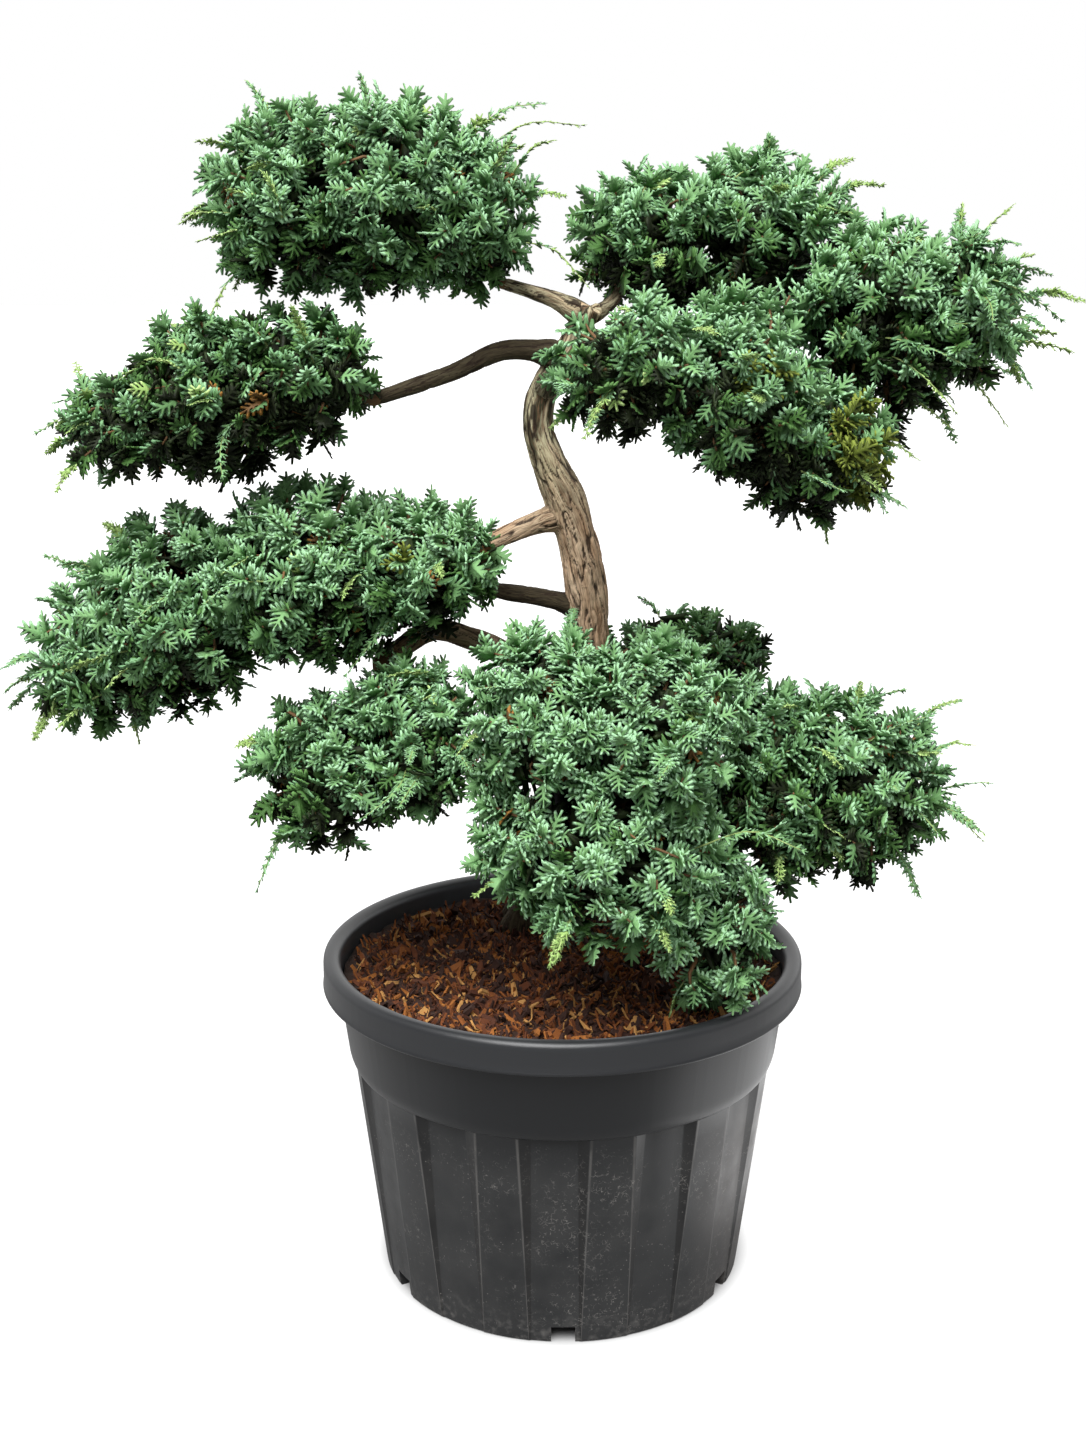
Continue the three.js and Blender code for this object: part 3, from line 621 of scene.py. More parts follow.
def flake_mesh(name, width, thickness, bend, random):
    """A strip that is bent by an angle, narrows to both ends and has ragged edges."""
    count = len(FLAKE_OUTLINE)
    widths = width * np.array(FLAKE_OUTLINE) * random.uniform(*FLAKE_RAGGED, count)
    turn = bend * np.linspace(-0.5, 0.5, count)
    centre = np.stack([np.sin(turn) / bend, np.zeros(count), (1 - np.cos(turn)) / bend], axis=-1)
    up = np.stack([-np.sin(turn), np.zeros(count), np.cos(turn)], axis=-1) * thickness / 2
    side = np.array([0, 1.0, 0]) * widths[:, None] / 2
    corners = [centre + side + up, centre - side + up, centre - side - up, centre + side - up]
    points = np.stack(corners, axis=1)
    points += random.uniform(-FLAKE_SHAKE, FLAKE_SHAKE, points.shape)
    rows = [4 * i for i in range(count - 1)]
    faces = [[r + k, r + (k + 1) % 4, r + 4 + (k + 1) % 4, r + 4 + k] for r in rows for k in range(4)]
    last = 4 * (count - 1)
    faces += [[3, 2, 1, 0], [last, last + 1, last + 2, last + 3]]
    return mesh_from_arrays(name, points.reshape(-1, 3), np.array(faces)[:, ::-1], smooth=False)


def hidden_set(name, meshes):
    """A collection that is in no scene, for shapes that Geometry Nodes copy."""
    holder = bpy.data.collections.new(name)
    for k, mesh in enumerate(meshes):
        holder.objects.link(bpy.data.objects.new(f"{name}_{k}", mesh))
    return holder


def drop_set(holder):
    for shape in list(holder.objects):
        bpy.data.objects.remove(shape)
    bpy.data.collections.remove(holder)


flake_random = np.random.default_rng(SEED)
flake_meshes = [flake_mesh(f"flake_{k}", *sizes, flake_random) for k, sizes in enumerate(FLAKES)]
flakes = hidden_set("flake", flake_meshes)

# %% [markdown]
# ### Shredded bark
# Fresh inner bark is tan, the outer bark red-brown, and wet crumbs are nearly black. One pattern over all
# flakes would look printed, so the flakes are dealt out between plain tones, and the nodes pick the tone,
# the dark ones far more often. Each tone has the fibres of bark as a fine bump.

# %% Bark tones
MULCH_TONES = ["#2e1407", "#44200b", "#572b0e", "#6a3812", "#7c4516", "#8c541e", "#ae7f46"]
COMPOST_TONES = ["#1a0e06", "#3a2010"]
FIBRE_SIZE = 1.5
CRUMB_SIZE = 5


def mulch_tone(index, colour):
    tone, tree = start_material(f"shredded_bark_{index}")
    place = add_node(tree, "ShaderNodeTexCoord").outputs["Object"]
    fibre = add_node(tree, "ShaderNodeTexNoise",
                     {"Vector": place, "Scale": 1 / (FIBRE_SIZE * MM), "Detail": 3.0})
    bump = add_node(tree, "ShaderNodeBump",
                    {"Height": fibre.outputs["Fac"], "Strength": 0.6, "Distance": 1 * MM})
    end_material(tree, {"Base Color": linear(colour), "Roughness": 0.9, "Normal": bump.outputs["Normal"]})
    return tone


mulch_tones = [mulch_tone(k, colour) for k, colour in enumerate(MULCH_TONES)]
crumbs, tree = start_material("moist_bark_compost")
place = add_node(tree, "ShaderNodeTexCoord").outputs["Object"]
grit = add_node(tree, "ShaderNodeTexNoise", {"Vector": place, "Scale": 1 / (CRUMB_SIZE * MM), "Detail": 5.0})
wet, dry = (linear(tone) for tone in COMPOST_TONES)
rough = add_node(tree, "ShaderNodeBump", {"Height": grit.outputs["Fac"], "Strength": 0.8, "Distance": 2 * MM})
end_material(tree, {"Base Color": coated(tree, wet, (grit.outputs["Fac"], dry)), "Roughness": 0.95,
                    "Normal": rough.outputs["Normal"]})
bed.data.materials.append(crumbs)
print("mulch tones:", len(mulch_tones))

# %% Node trees for copies


def start_group(name, geometry, numbers, made):
    """A Geometry Nodes tree with its sockets: a geometry and some numbers in, and a geometry out."""
    tree = bpy.data.node_groups.new(name, "GeometryNodeTree")
    tree.interface.new_socket(geometry, in_out="INPUT", socket_type="NodeSocketGeometry")
    for number in numbers:
        tree.interface.new_socket(number, in_out="INPUT", socket_type="NodeSocketFloat")
    tree.interface.new_socket(made, in_out="OUTPUT", socket_type="NodeSocketGeometry")
    return tree, add_node(tree, "NodeGroupInput").outputs


def real_copies(tree, shapes, number, index, sockets):
    """Copies of a set's shapes, as real faces, on the points whose number is the given one."""
    source = add_node(tree, "GeometryNodeCollectionInfo",
                      {"Collection": shapes, "Separate Children": True, "Reset Children": True})
    chosen = add_node(tree, "FunctionNodeCompare", {2: number, 3: index}, data_type="INT", operation="EQUAL")
    copies = add_node(tree, "GeometryNodeInstanceOnPoints",
                      {"Selection": chosen.outputs["Result"], "Instance": source.outputs[0],
                       "Pick Instance": True, **sockets})
    real = add_node(tree, "GeometryNodeRealizeInstances", {"Geometry": copies.outputs["Instances"]})
    return real.outputs[0]


def grow(name, mesh, tree, **sizes):
    """Runs a node tree on a mesh and shows what it makes as a plain mesh piece."""
    carrier = show(name, mesh)
    nodes = carrier.modifiers.new("nodes", "NODES")
    nodes.node_group = tree
    for socket in tree.interface.items_tree:
        key = socket.name.lower().replace(" ", "_")
        if key in sizes:
            nodes[socket.identifier] = sizes[key]
    made = plain_mesh(carrier)
    carrier.data = made
    for extra in [a.name for a in made.attributes if not a.is_internal and not a.is_required]:
        if extra not in ("sharp_face", "material_index"):
            made.attributes.remove(made.attributes[extra])
    return carrier


print("tools for node trees are ready")

# %% Scatter the flakes
MULCH_FAVOUR = 1.8  # more than 1 favours the tones at the start of the list
BARE_EDGE = 18  # how far from the edge of the bed the flakes keep
LEVEL_ENOUGH = 0.2  # the least upward part of the normal where a flake may lie
FLAKE_TILTS = (0.9, 0.7)  # how far a flake is tipped about its two level axes, at most
FLAKE_DENSITY = 23000.0
FLAKE_SIZES = (6, 40)


def scatter_tree(shapes, tones):
    numbers = ("Flakes per square metre", "Smallest flake", "Largest flake")
    tree, given = start_group("scatter_flakes", "Bed", numbers, "Flakes")
    place = add_node(tree, "GeometryNodeInputPosition").outputs[0]
    from_top = add_node(tree, "ShaderNodeVectorMath", {0: place, 1: (0, 0, SOIL_LEVEL * MM)},
                        operation="DISTANCE").outputs["Value"]
    on_top = add_node(tree, "FunctionNodeCompare", {0: from_top, 1: (SOIL_RADIUS - BARE_EDGE) * MM},
                      operation="LESS_THAN")
    normal = add_node(tree, "GeometryNodeInputNormal")
    lift = add_node(tree, "ShaderNodeSeparateXYZ", {"Vector": normal.outputs["Normal"]})
    looks_up = add_node(tree, "FunctionNodeCompare", {0: lift.outputs["Z"], 1: LEVEL_ENOUGH},
                        operation="GREATER_THAN")
    both = add_node(tree, "FunctionNodeBooleanMath", {0: on_top.outputs[0], 1: looks_up.outputs[0]},
                    operation="AND")
    spread = add_node(tree, "GeometryNodeDistributePointsOnFaces",
                      {"Mesh": given["Bed"], "Selection": both.outputs[0],
                       "Density": given["Flakes per square metre"], "Seed": SEED})
    x, y = FLAKE_TILTS
    turn = add_node(tree, "FunctionNodeRandomValue",
                    {0: (-x, -y, 0.0), 1: (x, y, 2 * math.pi), "Seed": SEED + 1}, data_type="FLOAT_VECTOR")
    size = add_node(tree, "FunctionNodeRandomValue",
                    {2: given["Smallest flake"], 3: given["Largest flake"], "Seed": SEED + 2},
                    data_type="FLOAT")
    shape = add_node(tree, "FunctionNodeRandomValue", {4: 0, 5: len(shapes.objects) - 1, "Seed": SEED + 3},
                     data_type="INT")
    draw = add_node(tree, "FunctionNodeRandomValue", {2: 0.0, 3: 0.999, "Seed": SEED + 4}, data_type="FLOAT")
    favour = add_node(tree, "ShaderNodeMath", {0: draw.outputs[1], 1: MULCH_FAVOUR}, operation="POWER")
    rank = times(tree, favour.outputs[0], len(tones))
    tone = add_node(tree, "FunctionNodeFloatToInt", {0: rank}, rounding_mode="FLOOR")
    laid = {"Points": spread.outputs["Points"], "Instance Index": shape.outputs[2],
            "Rotation": turn.outputs[0], "Scale": size.outputs[1]}
    together = add_node(tree, "GeometryNodeJoinGeometry")
    for index, material in enumerate(tones):
        real = real_copies(tree, shapes, tone.outputs[0], index, laid)
        finished = add_node(tree, "GeometryNodeSetMaterial", {"Geometry": real, "Material": material})
        tree.links.new(finished.outputs[0], together.inputs[0])
    add_node(tree, "NodeGroupOutput", {"Flakes": together.outputs[0]})
    return tree


flake_tree = scatter_tree(flakes, mulch_tones)
mulch = grow("mulch_flakes", bed.data.copy(), flake_tree, flakes_per_square_metre=FLAKE_DENSITY,
             smallest_flake=FLAKE_SIZES[0] * MM, largest_flake=FLAKE_SIZES[1] * MM)
drop_set(flakes)
for piece in (bed, mulch):
    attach(piece, "root")
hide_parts("soil")
print("flake triangles:", triangle_count(mulch.data))

# %% [markdown]
# ## Trunk and boughs
# The trunk leans, bends back and tapers, and eleven boughs leave it. Its bark peels in long fibrous strips.
# Each limb is a loft along a smooth path, which follows the same points and radii as the solids. A voxel
# remesh then melts the limbs into one skin, so that every fork gets a natural web, and the skin is fine
# enough to carry the strips as real relief. Subdivision would smooth the forks less well.

# %% Limb paths
TRUNK_PATH = [(-27, 155, SOIL_LEVEL), (-12, 146, 497), (20, 126, 654), (33, 102, 830), (10, 84, 953),
              (-29, 70, 1058), (-21, 65, 1112), (6, 60, 1154), (31, 54, 1203)]
TRUNK_TAPER = [(0, 34), (0.4, 26.5), (0.7, 24), (0.83, 18), (1, 14.5)]
TRUNK_FLARE = 0.55
FLARE_HEIGHT = 30
ROOTS = 5
# Each bough: the height where it leaves the trunk, the points on its way, and its radius at root and tip.
BOUGHS = {
    "top_left": (1192, [(-2, 54, 1209), (-69, 58, 1231)], (11, 7)),
    "top_right": (1188, [(58, 75, 1209), (71, 100, 1229)], (8, 6)),
    "middle_left": (1144, [(-42, 52, 1155), (-75, 45, 1153), (-134, 30, 1129), (-218, 5, 1102)], (13, 8)),
    "lower_left_upper": (952, [(-42, 75, 941), (-104, 60, 915)], (15, 10)),
    "lower_left_under": (829, [(-28, 100, 847), (-78, 98, 855), (-115, 75, 866)], (12, 9)),
    "low_left": (700, [(-48, 74, 764), (-107, 40, 804), (-158, 5, 824), (-212, -42, 797)], (17, 12)),
    "low_front": (640, [(-5, 50, 675), (-8, -25, 701)], (18, 13)),
    "low_right": (672, [(149, 60, 646), (243, -50, 654)], (16, 11)),
    "low_rear": (735, [(58, 122, 752), (81, 128, 764)], (11, 9)),
    "right": (1160, [(103, 60, 1174), (209, 45, 1190), (280, 25, 1198)], (12, 8)),
    "right_front": (1106, [(0, 5, 1135), (41, -50, 1154)], (12, 9)),
}
LIMB_STEP = 4.0
CURVE_STEPS = 24


def smooth_path(points, step):
    """An even run of points on the centripetal Catmull-Rom curve through the given ones."""
    p = np.asarray(points, dtype=float)
    p = np.vstack([2 * p[0] - p[1], p, 2 * p[-1] - p[-2]])
    t = np.linspace(0, 1, CURVE_STEPS, endpoint=False)[:, None]
    fine = []
    for a, b, c, d in zip(p, p[1:], p[2:], p[3:]):
        before, here, after = (math.sqrt(np.linalg.norm(q)) for q in (b - a, c - b, d - c))
        leave = here * ((b - a) / before - (c - a) / (before + here) + (c - b) / here)
        arrive = here * ((c - b) / here - (d - b) / (here + after) + (d - c) / after)
        fine.append((2 * t**3 - 3 * t**2 + 1) * b + (t**3 - 2 * t**2 + t) * leave
                    + (3 * t**2 - 2 * t**3) * c + (t**3 - t**2) * arrive)
    fine = np.vstack([*fine, p[-2:-1]])
    walked = np.concatenate([[0], np.cumsum(np.linalg.norm(np.diff(fine, axis=0), axis=1))])
    even = np.linspace(0, walked[-1], max(4, round(walked[-1] / step) + 1))
    return np.stack([np.interp(even, walked, fine[:, k]) for k in range(3)], axis=-1)


trunk_path = smooth_path(TRUNK_PATH, LIMB_STEP)
bough_paths = {}
for name, (leaves, points, _) in BOUGHS.items():
    fork = trunk_path[np.argmax(trunk_path[:, 2] >= leaves)]
    bough_paths[name] = smooth_path([fork, *points], LIMB_STEP)
print("trunk length, mm:", round(LIMB_STEP * len(trunk_path)), "boughs:", len(bough_paths))

# %% Radii and directions
ROOT_SWELL = 0.4
COLLAR_SWELL = 0.32
COLLAR_REACH = (22, 12)  # how far out the collar is full, and how soon it then fades


def frames_along(path):
    """Unit vectors along a path and across it, carried along without twisting."""
    along = unit(np.gradient(path, axis=0))
    across = np.zeros_like(along)
    last = np.array([1.0, 0, 0]) if abs(along[0, 0]) < 0.8 else np.array([0, 1.0, 0])
    for i, heading in enumerate(along):
        last = last - heading * last.dot(heading)
        last = last / np.linalg.norm(last)
        across[i] = last
    return along, across, np.cross(along, across)


def trunk_radii(sides):
    share = np.linspace(0, 1, len(trunk_path))
    turn = 2 * math.pi * np.arange(sides) / sides
    flare = TRUNK_FLARE * np.exp(-(trunk_path[:, 2] - SOIL_LEVEL) / FLARE_HEIGHT)
    roots = 1 + ROOT_SWELL * np.cos(ROOTS * turn)
    return np.interp(share, *zip(*TRUNK_TAPER))[:, None] * (1 + flare[:, None] * roots[None, :])


def bough_radii(name, sides):
    """The taper of a bough, with the collar of wood that swells where it leaves the trunk."""
    root, tip = BOUGHS[name][2]
    walked = LIMB_STEP * np.arange(len(bough_paths[name]))
    full, fade = COLLAR_REACH
    swell = 1 + COLLAR_SWELL * np.exp(-np.maximum(walked - full, 0) / fade)
    return np.repeat((np.linspace(root, tip, len(walked)) * swell)[:, None], sides, axis=1)


print("radius of the trunk at a root, mm:", round(trunk_radii(1)[0, 0]))

# %% Limb lofts


def circles(across, other, sides):
    """Circles of unit vectors, each in the plane of two directions."""
    turn = 2 * math.pi * np.arange(sides) / sides
    return across * np.cos(turn)[None, :, None] + other * np.sin(turn)[None, :, None]


def side_faces(count, steps, sides):
    """Triangles of the walls of several tubes, whose points run round each step, then on to the next."""
    n, i, k = np.meshgrid(np.arange(count), np.arange(steps - 1), np.arange(sides), indexing="ij")
    a = (n * steps + i) * sides + k
    b = (n * steps + i) * sides + (k + 1) % sides
    corners = ((a, b, b + sides), (a, b + sides, a + sides))
    return np.vstack([np.stack(three, -1).reshape(-1, 3) for three in corners])


def loft(path, radii):
    """A closed tube of triangles round a path."""
    count, sides = radii.shape
    _, across, other = frames_along(path)
    ring = circles(across[:, None], other[:, None], sides)
    points = (path[:, None] + ring * radii[..., None]).reshape(-1, 3)
    k = np.arange(sides)
    first, last = count * sides, count * sides + 1
    end = (count - 1) * sides
    heel = np.stack([np.full(sides, first), (k + 1) % sides, k], -1)
    tip = np.stack([np.full(sides, last), end + k, end + (k + 1) % sides], -1)
    return np.vstack([points, path[:1], path[-1:]]), np.vstack([side_faces(1, count, sides), heel, tip])


def join(parts):
    """Several point and face arrays as one."""
    starts = np.cumsum([0] + [len(points) for points, _ in parts])
    return np.vstack([p for p, _ in parts]), np.vstack([f + s for (_, f), s in zip(parts, starts)])


LIMB_SIDES = 28
TRUNK_SUNK = 14  # how far the trunk goes on into the mulch
skirt = trunk_radii(LIMB_SIDES)
trunk_foot = np.vstack([trunk_path[:1] - (0, 0, TRUNK_SUNK), trunk_path])
limb_lofts = [loft(trunk_foot, np.vstack([skirt[:1], skirt]))]
limb_lofts += [loft(bough_paths[name], bough_radii(name, LIMB_SIDES)) for name in BOUGHS]
points, faces = join(limb_lofts)
print("limb loft triangles:", len(faces))

# %% One skin of bark
BARK_VOXEL = 2.05 * MM
bark = show("bark_skin", mesh_from_arrays("bark_skin", points * MM, faces))
skin = bark.modifiers.new("skin", "REMESH")
skin.mode = "VOXEL"
skin.voxel_size = BARK_VOXEL
skin.use_smooth_shade = True
bark.data = plain_mesh(bark)
print("bark triangles:", triangle_count(bark.data))

# %% Where each point is on its limb
# Every point of the skin looks up the nearest limb, and learns how far along it is and where round it.
# The stretch of a bough that is still inside the trunk is passed over, so that the trunk keeps its own grain.
STRIP_TWIST = 1 / 420
LIMBS_APART = 900  # added to the distance walked from limb to limb, so that no two have the same bark
BLOCK = 4000  # how many points are looked up at once
TRUNK_RADII = trunk_radii(1)[:, 0]
# The columns of the table of limbs.
PLACE, RADIUS, WALKED, LIMB = slice(0, 3), 3, 13, 14
ALONG, ACROSS, OTHER = slice(4, 7), slice(7, 10), slice(10, 13)


def inside_trunk(path):
    gap = np.linalg.norm(path[:, None] - trunk_path[None], axis=-1)
    return (gap < TRUNK_RADII[None]).any(axis=1)


def limb_table(paths, radii):
    """Place, radius, frame, distance walked and number of every limb, a row for each step."""
    rows = []
    for k, (path, radius) in enumerate(zip(paths, radii)):
        free = np.full(len(path), True) if k == 0 else ~inside_trunk(path)
        walked = LIMB_STEP * np.arange(len(path)) + LIMBS_APART * k
        limb = np.full(len(path), float(k))
        rows.append(np.column_stack([path, radius, *frames_along(path), walked, limb])[free])
    return np.vstack(rows)


limbs = limb_table([trunk_path, *bough_paths.values()],
                   [TRUNK_RADII, *(bough_radii(name, 1)[:, 0] for name in BOUGHS)])


def wood_gaps(points):
    """How far each point lies from the bark at every step of every limb."""
    return np.linalg.norm(points[:, None] - limbs[None, :, PLACE], axis=-1) - limbs[None, :, RADIUS]


def nearest_wood(points):
    blocks = [points[start:start + BLOCK] for start in range(0, len(points), BLOCK)]
    return np.concatenate([wood_gaps(block).argmin(axis=1) for block in blocks])


def read_vectors(data, field, count):
    values = np.zeros(3 * count, dtype=np.float32)
    data.foreach_get(field, values)
    return values.reshape(-1, 3).astype(float)


def bark_grain(points):
    """Each point in its limb's own frame: two ways across, on a circle, and along. Also radius and limb."""
    row = limbs[nearest_wood(points)]
    offset = points - row[:, PLACE]
    along, first, second = ((offset * row[:, part]).sum(axis=1) for part in (ALONG, ACROSS, OTHER))
    walked = row[:, WALKED] + along
    turn = np.arctan2(second, first) + walked * STRIP_TWIST
    radius = row[:, RADIUS]
    return np.stack([radius * np.cos(turn), radius * np.sin(turn), walked], axis=-1), radius, row[:, LIMB]


skin_points = read_vectors(bark.data.vertices, "co", len(bark.data.vertices)) / MM
skin_normals = read_vectors(bark.data.vertex_normals, "vector", len(skin_points))
grain, girth, limb_index = bark_grain(skin_points)
print("bark points:", len(grain))

# %% Bark relief
# Noise that is stretched along the limb makes strips, whichever way the limb runs. A fissure runs wherever
# that noise passes through nought, so fissures are long thin lines that part and close again, as on old bark.
# A slower noise bends them, a finer set of shallow ones lies between, and a few plates stand off.
STRIP_SIZE = (7.5, 7.5, 64.0)
FINE_STRIP_SIZE = (4.6, 4.6, 32.0)
SWAY_SIZE = (14.0, 14.0, 26.0)
PLATE_SIZE = (13.0, 13.0, 60.0)
LUMP_SIZE = 46.0
FISSURE = 0.1  # how near to nought the noise has to be
FINE_SHARE = 0.5  # how deep the fine fissures are beside the others
STRIP_SWAY = 3.2
SWAY_SHIFT, FINE_SHIFT = 71.0, 37.0  # far enough to read another stretch of the noise
BARK_DEPTHS = (0.8, 2.8)
DEPTH_SHARE = 0.10  # depth of the bark beside the radius of its limb
CRACK_SHARE = 0.7  # how much of that depth is cut in, while the rest stands out
PLATE_LIFT, PLATE_EDGE = 0.45, 3.0
LUMP_LIFT = 0.08


def noise_field(points, sizes):
    return np.array([noise.noise(Vector(p)) for p in points / sizes])


sway = np.stack([noise_field(grain + shift, SWAY_SIZE) for shift in (0.0, SWAY_SHIFT)], axis=-1)
bent = grain + np.column_stack([STRIP_SWAY * sway, np.zeros(len(grain))])
deep = np.exp(-(noise_field(bent, STRIP_SIZE) / FISSURE)**2)
shallow = np.exp(-(noise_field(bent + FINE_SHIFT, FINE_STRIP_SIZE) / FISSURE)**2)
ridge = np.clip(1 - deep - FINE_SHARE * shallow, 0, 1)
plates = np.clip(noise_field(bent, PLATE_SIZE) * PLATE_EDGE, -1, 1)
lumps = noise_field(skin_points, LUMP_SIZE)
depth = np.clip(girth * DEPTH_SHARE, *BARK_DEPTHS)
lift = depth * (ridge - CRACK_SHARE) + PLATE_LIFT * depth * plates + LUMP_LIFT * girth * lumps
lifted = (skin_points + skin_normals * lift[:, None]) * MM
bark.data.vertices.foreach_set("co", lifted.astype(np.float32).ravel())
print("bark relief, mm:", round(lift.min(), 1), "to", round(lift.max(), 1))

# %% What the finish needs to know
# Young boughs are darker and smoother than the trunk, and those that run in the shade under the clouds are
# painted darker still as painted shade. The trunk is painted darker near the mulch as painted shade, and it
# turns grey with a little green towards its top.
# The darkest boughs, lower_left_under and middle_left, run in the shade under the clouds: part of their
# darkness is painted shade.
BOUGH_DARKNESS = {"lower_left_under": 1.0, "middle_left": 0.95, "lower_left_upper": 0.2, "top_left": 0.2}
OTHER_DARKNESS = 0.62
# Below these heights the trunk is painted darker near the mulch: painted shade.
FOOT_SHADE_HEIGHTS = (480, 620)
GREY_HEIGHTS = (930, 1050)
darkness = np.array([0.0, *(BOUGH_DARKNESS.get(name, OTHER_DARKNESS) for name in BOUGHS)])
foot_shade = np.interp(skin_points[:, 2], FOOT_SHADE_HEIGHTS, (1.0, 0.0))
youth = np.maximum(darkness[limb_index.astype(int)], foot_shade)
greyness = np.interp(skin_points[:, 2], GREY_HEIGHTS, (0.0, 1.0))
bark_facts = {"ridge": ridge, "youth": youth, "greyness": greyness, "grain": bent * MM}
for name, values in bark_facts.items():
    store(bark.data, name, values)
bark.data.update()
print("attributes of the bark:", ", ".join(bark_facts))

# %% [markdown]
# ### Juniper bark
# Old strips weather to grey, fresh ones below them are a pinkish brown, and the cracks between are painted
# dark.
# The colour follows the relief through the attribute that was stored with it, so that every crack gets painted
# shade where it is deep. Fine fibres, about 1.5 mm wide, are streaks and a bump along the same grain.

# %% Bark finish
BARK_PINK = linear("#c39d7b")
BARK_PALE = linear("#e8cdae")
BARK_GREY = linear("#c4bc9a")
BARK_MOSS = linear("#3a3826")
BARK_YOUNG_AND_SHADED = linear("#292216")
BARK_YOUNG_AND_SHADED_PALE = linear("#473d2b")
BARK_STREAK = linear("#775a43")
BARK_CRACK_PAINTED_SHADE = linear("#251810")
# Noises drawn out along the grain: width and length in millimetres, and where each starts and is full.
BARK_NOISES = {
    "fibre": (1.7, 20, 0.32, 0.68),
    "pale": (14, 90, 0.36, 0.64),
    "grey": (22, 120, 0.3, 0.5),
    "moss": (13, 70, 0.44, 0.54),
}
bark_fibre, tree = start_material("juniper_bark")
way = add_node(tree, "ShaderNodeAttribute", attribute_name="grain").outputs["Vector"]
read = {name: add_node(tree, "ShaderNodeAttribute", attribute_name=name).outputs["Fac"]
        for name in ("ridge", "youth", "greyness")}
drawn = {name: noise_share(tree, way, (width, width, length), low, high)
         for name, (width, length, low, high) in BARK_NOISES.items()}
# The cracks get painted shade, darker where the relief is deep.
streaks, crack_shade = [add_node(tree, "ShaderNodeMapRange",
                            {"Value": value, "From Min": 0.6, "From Max": 0.1, "To Max": strength}).outputs[0]
                   for value, strength in ((drawn["fibre"], 0.8), (read["ridge"], 0.9))]
young_and_shaded = coated(tree, BARK_YOUNG_AND_SHADED, (drawn["fibre"], BARK_YOUNG_AND_SHADED_PALE))
bark_colour = coated(tree, BARK_PINK,
                     (drawn["pale"], BARK_PALE),
                     (times(tree, read["greyness"], drawn["grey"]), BARK_GREY),
                     (times(tree, read["greyness"], drawn["moss"]), BARK_MOSS),
                     (streaks, BARK_STREAK),
                     (read["youth"], young_and_shaded),
                     (crack_shade, BARK_CRACK_PAINTED_SHADE))
fibres = add_node(tree, "ShaderNodeBump", {"Height": drawn["fibre"], "Strength": 0.7, "Distance": 1.2 * MM})
end_material(tree, {"Base Color": bark_colour, "Roughness": 0.86, "Specular IOR Level": 0.3,
                    "Normal": fibres.outputs["Normal"]})
bark.data.materials.clear()
bark.data.materials.append(bark_fibre)
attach(bark, "root")
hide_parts("trunk", *(f"bough_{name}" for name in BOUGHS))
print("bark finished")

# %% [markdown]
# ## Foliage: where it grows
# Each cloud is a run of egg-shaped lobes, the same ones as in the solids. On the real plant a stem runs
# through a cloud and divides into twigs, each twig ends in a tuft, and each tuft is a bunch of flat sprays.
# The same rule is written here and carried further: golden-spiral directions give every lobe its twigs,
# every twig carries sprays round its last stretch, and what would leave its cloud's space is skipped.

# %% Lobes and shoot tips
# A lobe is its centre x, y, z and its half sizes along x, y, z. The tips are where the longest shoots end.
FOLIAGE = {
    "top_left": [(-317, 60, 1326, 109, 165, 117), (-205, 60, 1333, 130, 175, 125),
                 (-112, 50, 1308, 83, 140, 95)],
    "middle_left": [(-305, -20, 1128, 95, 140, 87), (-405, -20, 1106, 108, 150, 102),
                    (-505, -20, 1071, 81, 120, 61)],
    "lower_left": [(-172, -20, 912, 104, 160, 77), (-300, -20, 900, 130, 200, 112),
                   (-452, -20, 861, 122, 190, 122), (-545, -20, 805, 96, 140, 96)],
    "low_left": [(-267, -120, 692, 101, 150, 94), (-170, -115, 720, 95, 130, 92)],
    "low_front": [(-15, -150, 750, 120, 165, 115), (95, -180, 750, 125, 170, 110),
                  (48, -215, 620, 155, 140, 120), (172, -195, 526, 78, 82, 120)],
    "low_right": [(235, -120, 675, 92, 140, 124), (336, -100, 667, 123, 160, 112)],
    "low_rear": [(165, 140, 766, 110, 130, 49), (75, 240, 692, 130, 90, 85)],
    "top_right": [(110, 140, 1282, 115, 150, 92), (240, 140, 1295, 115, 160, 102)],
    "right": [(370, 20, 1193, 110, 160, 122), (452, 0, 1202, 84, 140, 97)],
    "right_front": [(76, -140, 1147, 104, 140, 82), (190, -130, 1118, 100, 150, 97),
                    (285, -80, 1054, 98, 140, 91)],
}
FOLIAGE = {name: np.array(lobes, dtype=float) for name, lobes in FOLIAGE.items()}
TIPS = {
    "top_left": [(18, 30, 1408), (-234, 60, 1463), (-441, 30, 1301)],
    "middle_left": [(-597, -40, 1044), (-580, -60, 1011)],
    "lower_left": [(-662, -60, 792), (-630, -60, 708)],
    "low_left": [(-352, -180, 561), (-380, -120, 672)],
    "low_front": [(-17, -330, 529), (-97, -240, 575), (124, -190, 410)],
    "low_right": [(491, -120, 608), (468, -60, 751), (412, -150, 543)],
    "low_rear": [(103, 200, 827), (260, 190, 793)],
    "top_right": [(246, 140, 1401), (371, 120, 1346)],
    "right": [(593, -10, 1214), (534, -40, 1120), (458, 20, 1317)],
    "right_front": [(299, -100, 950), (-13, -150, 1085)],
}
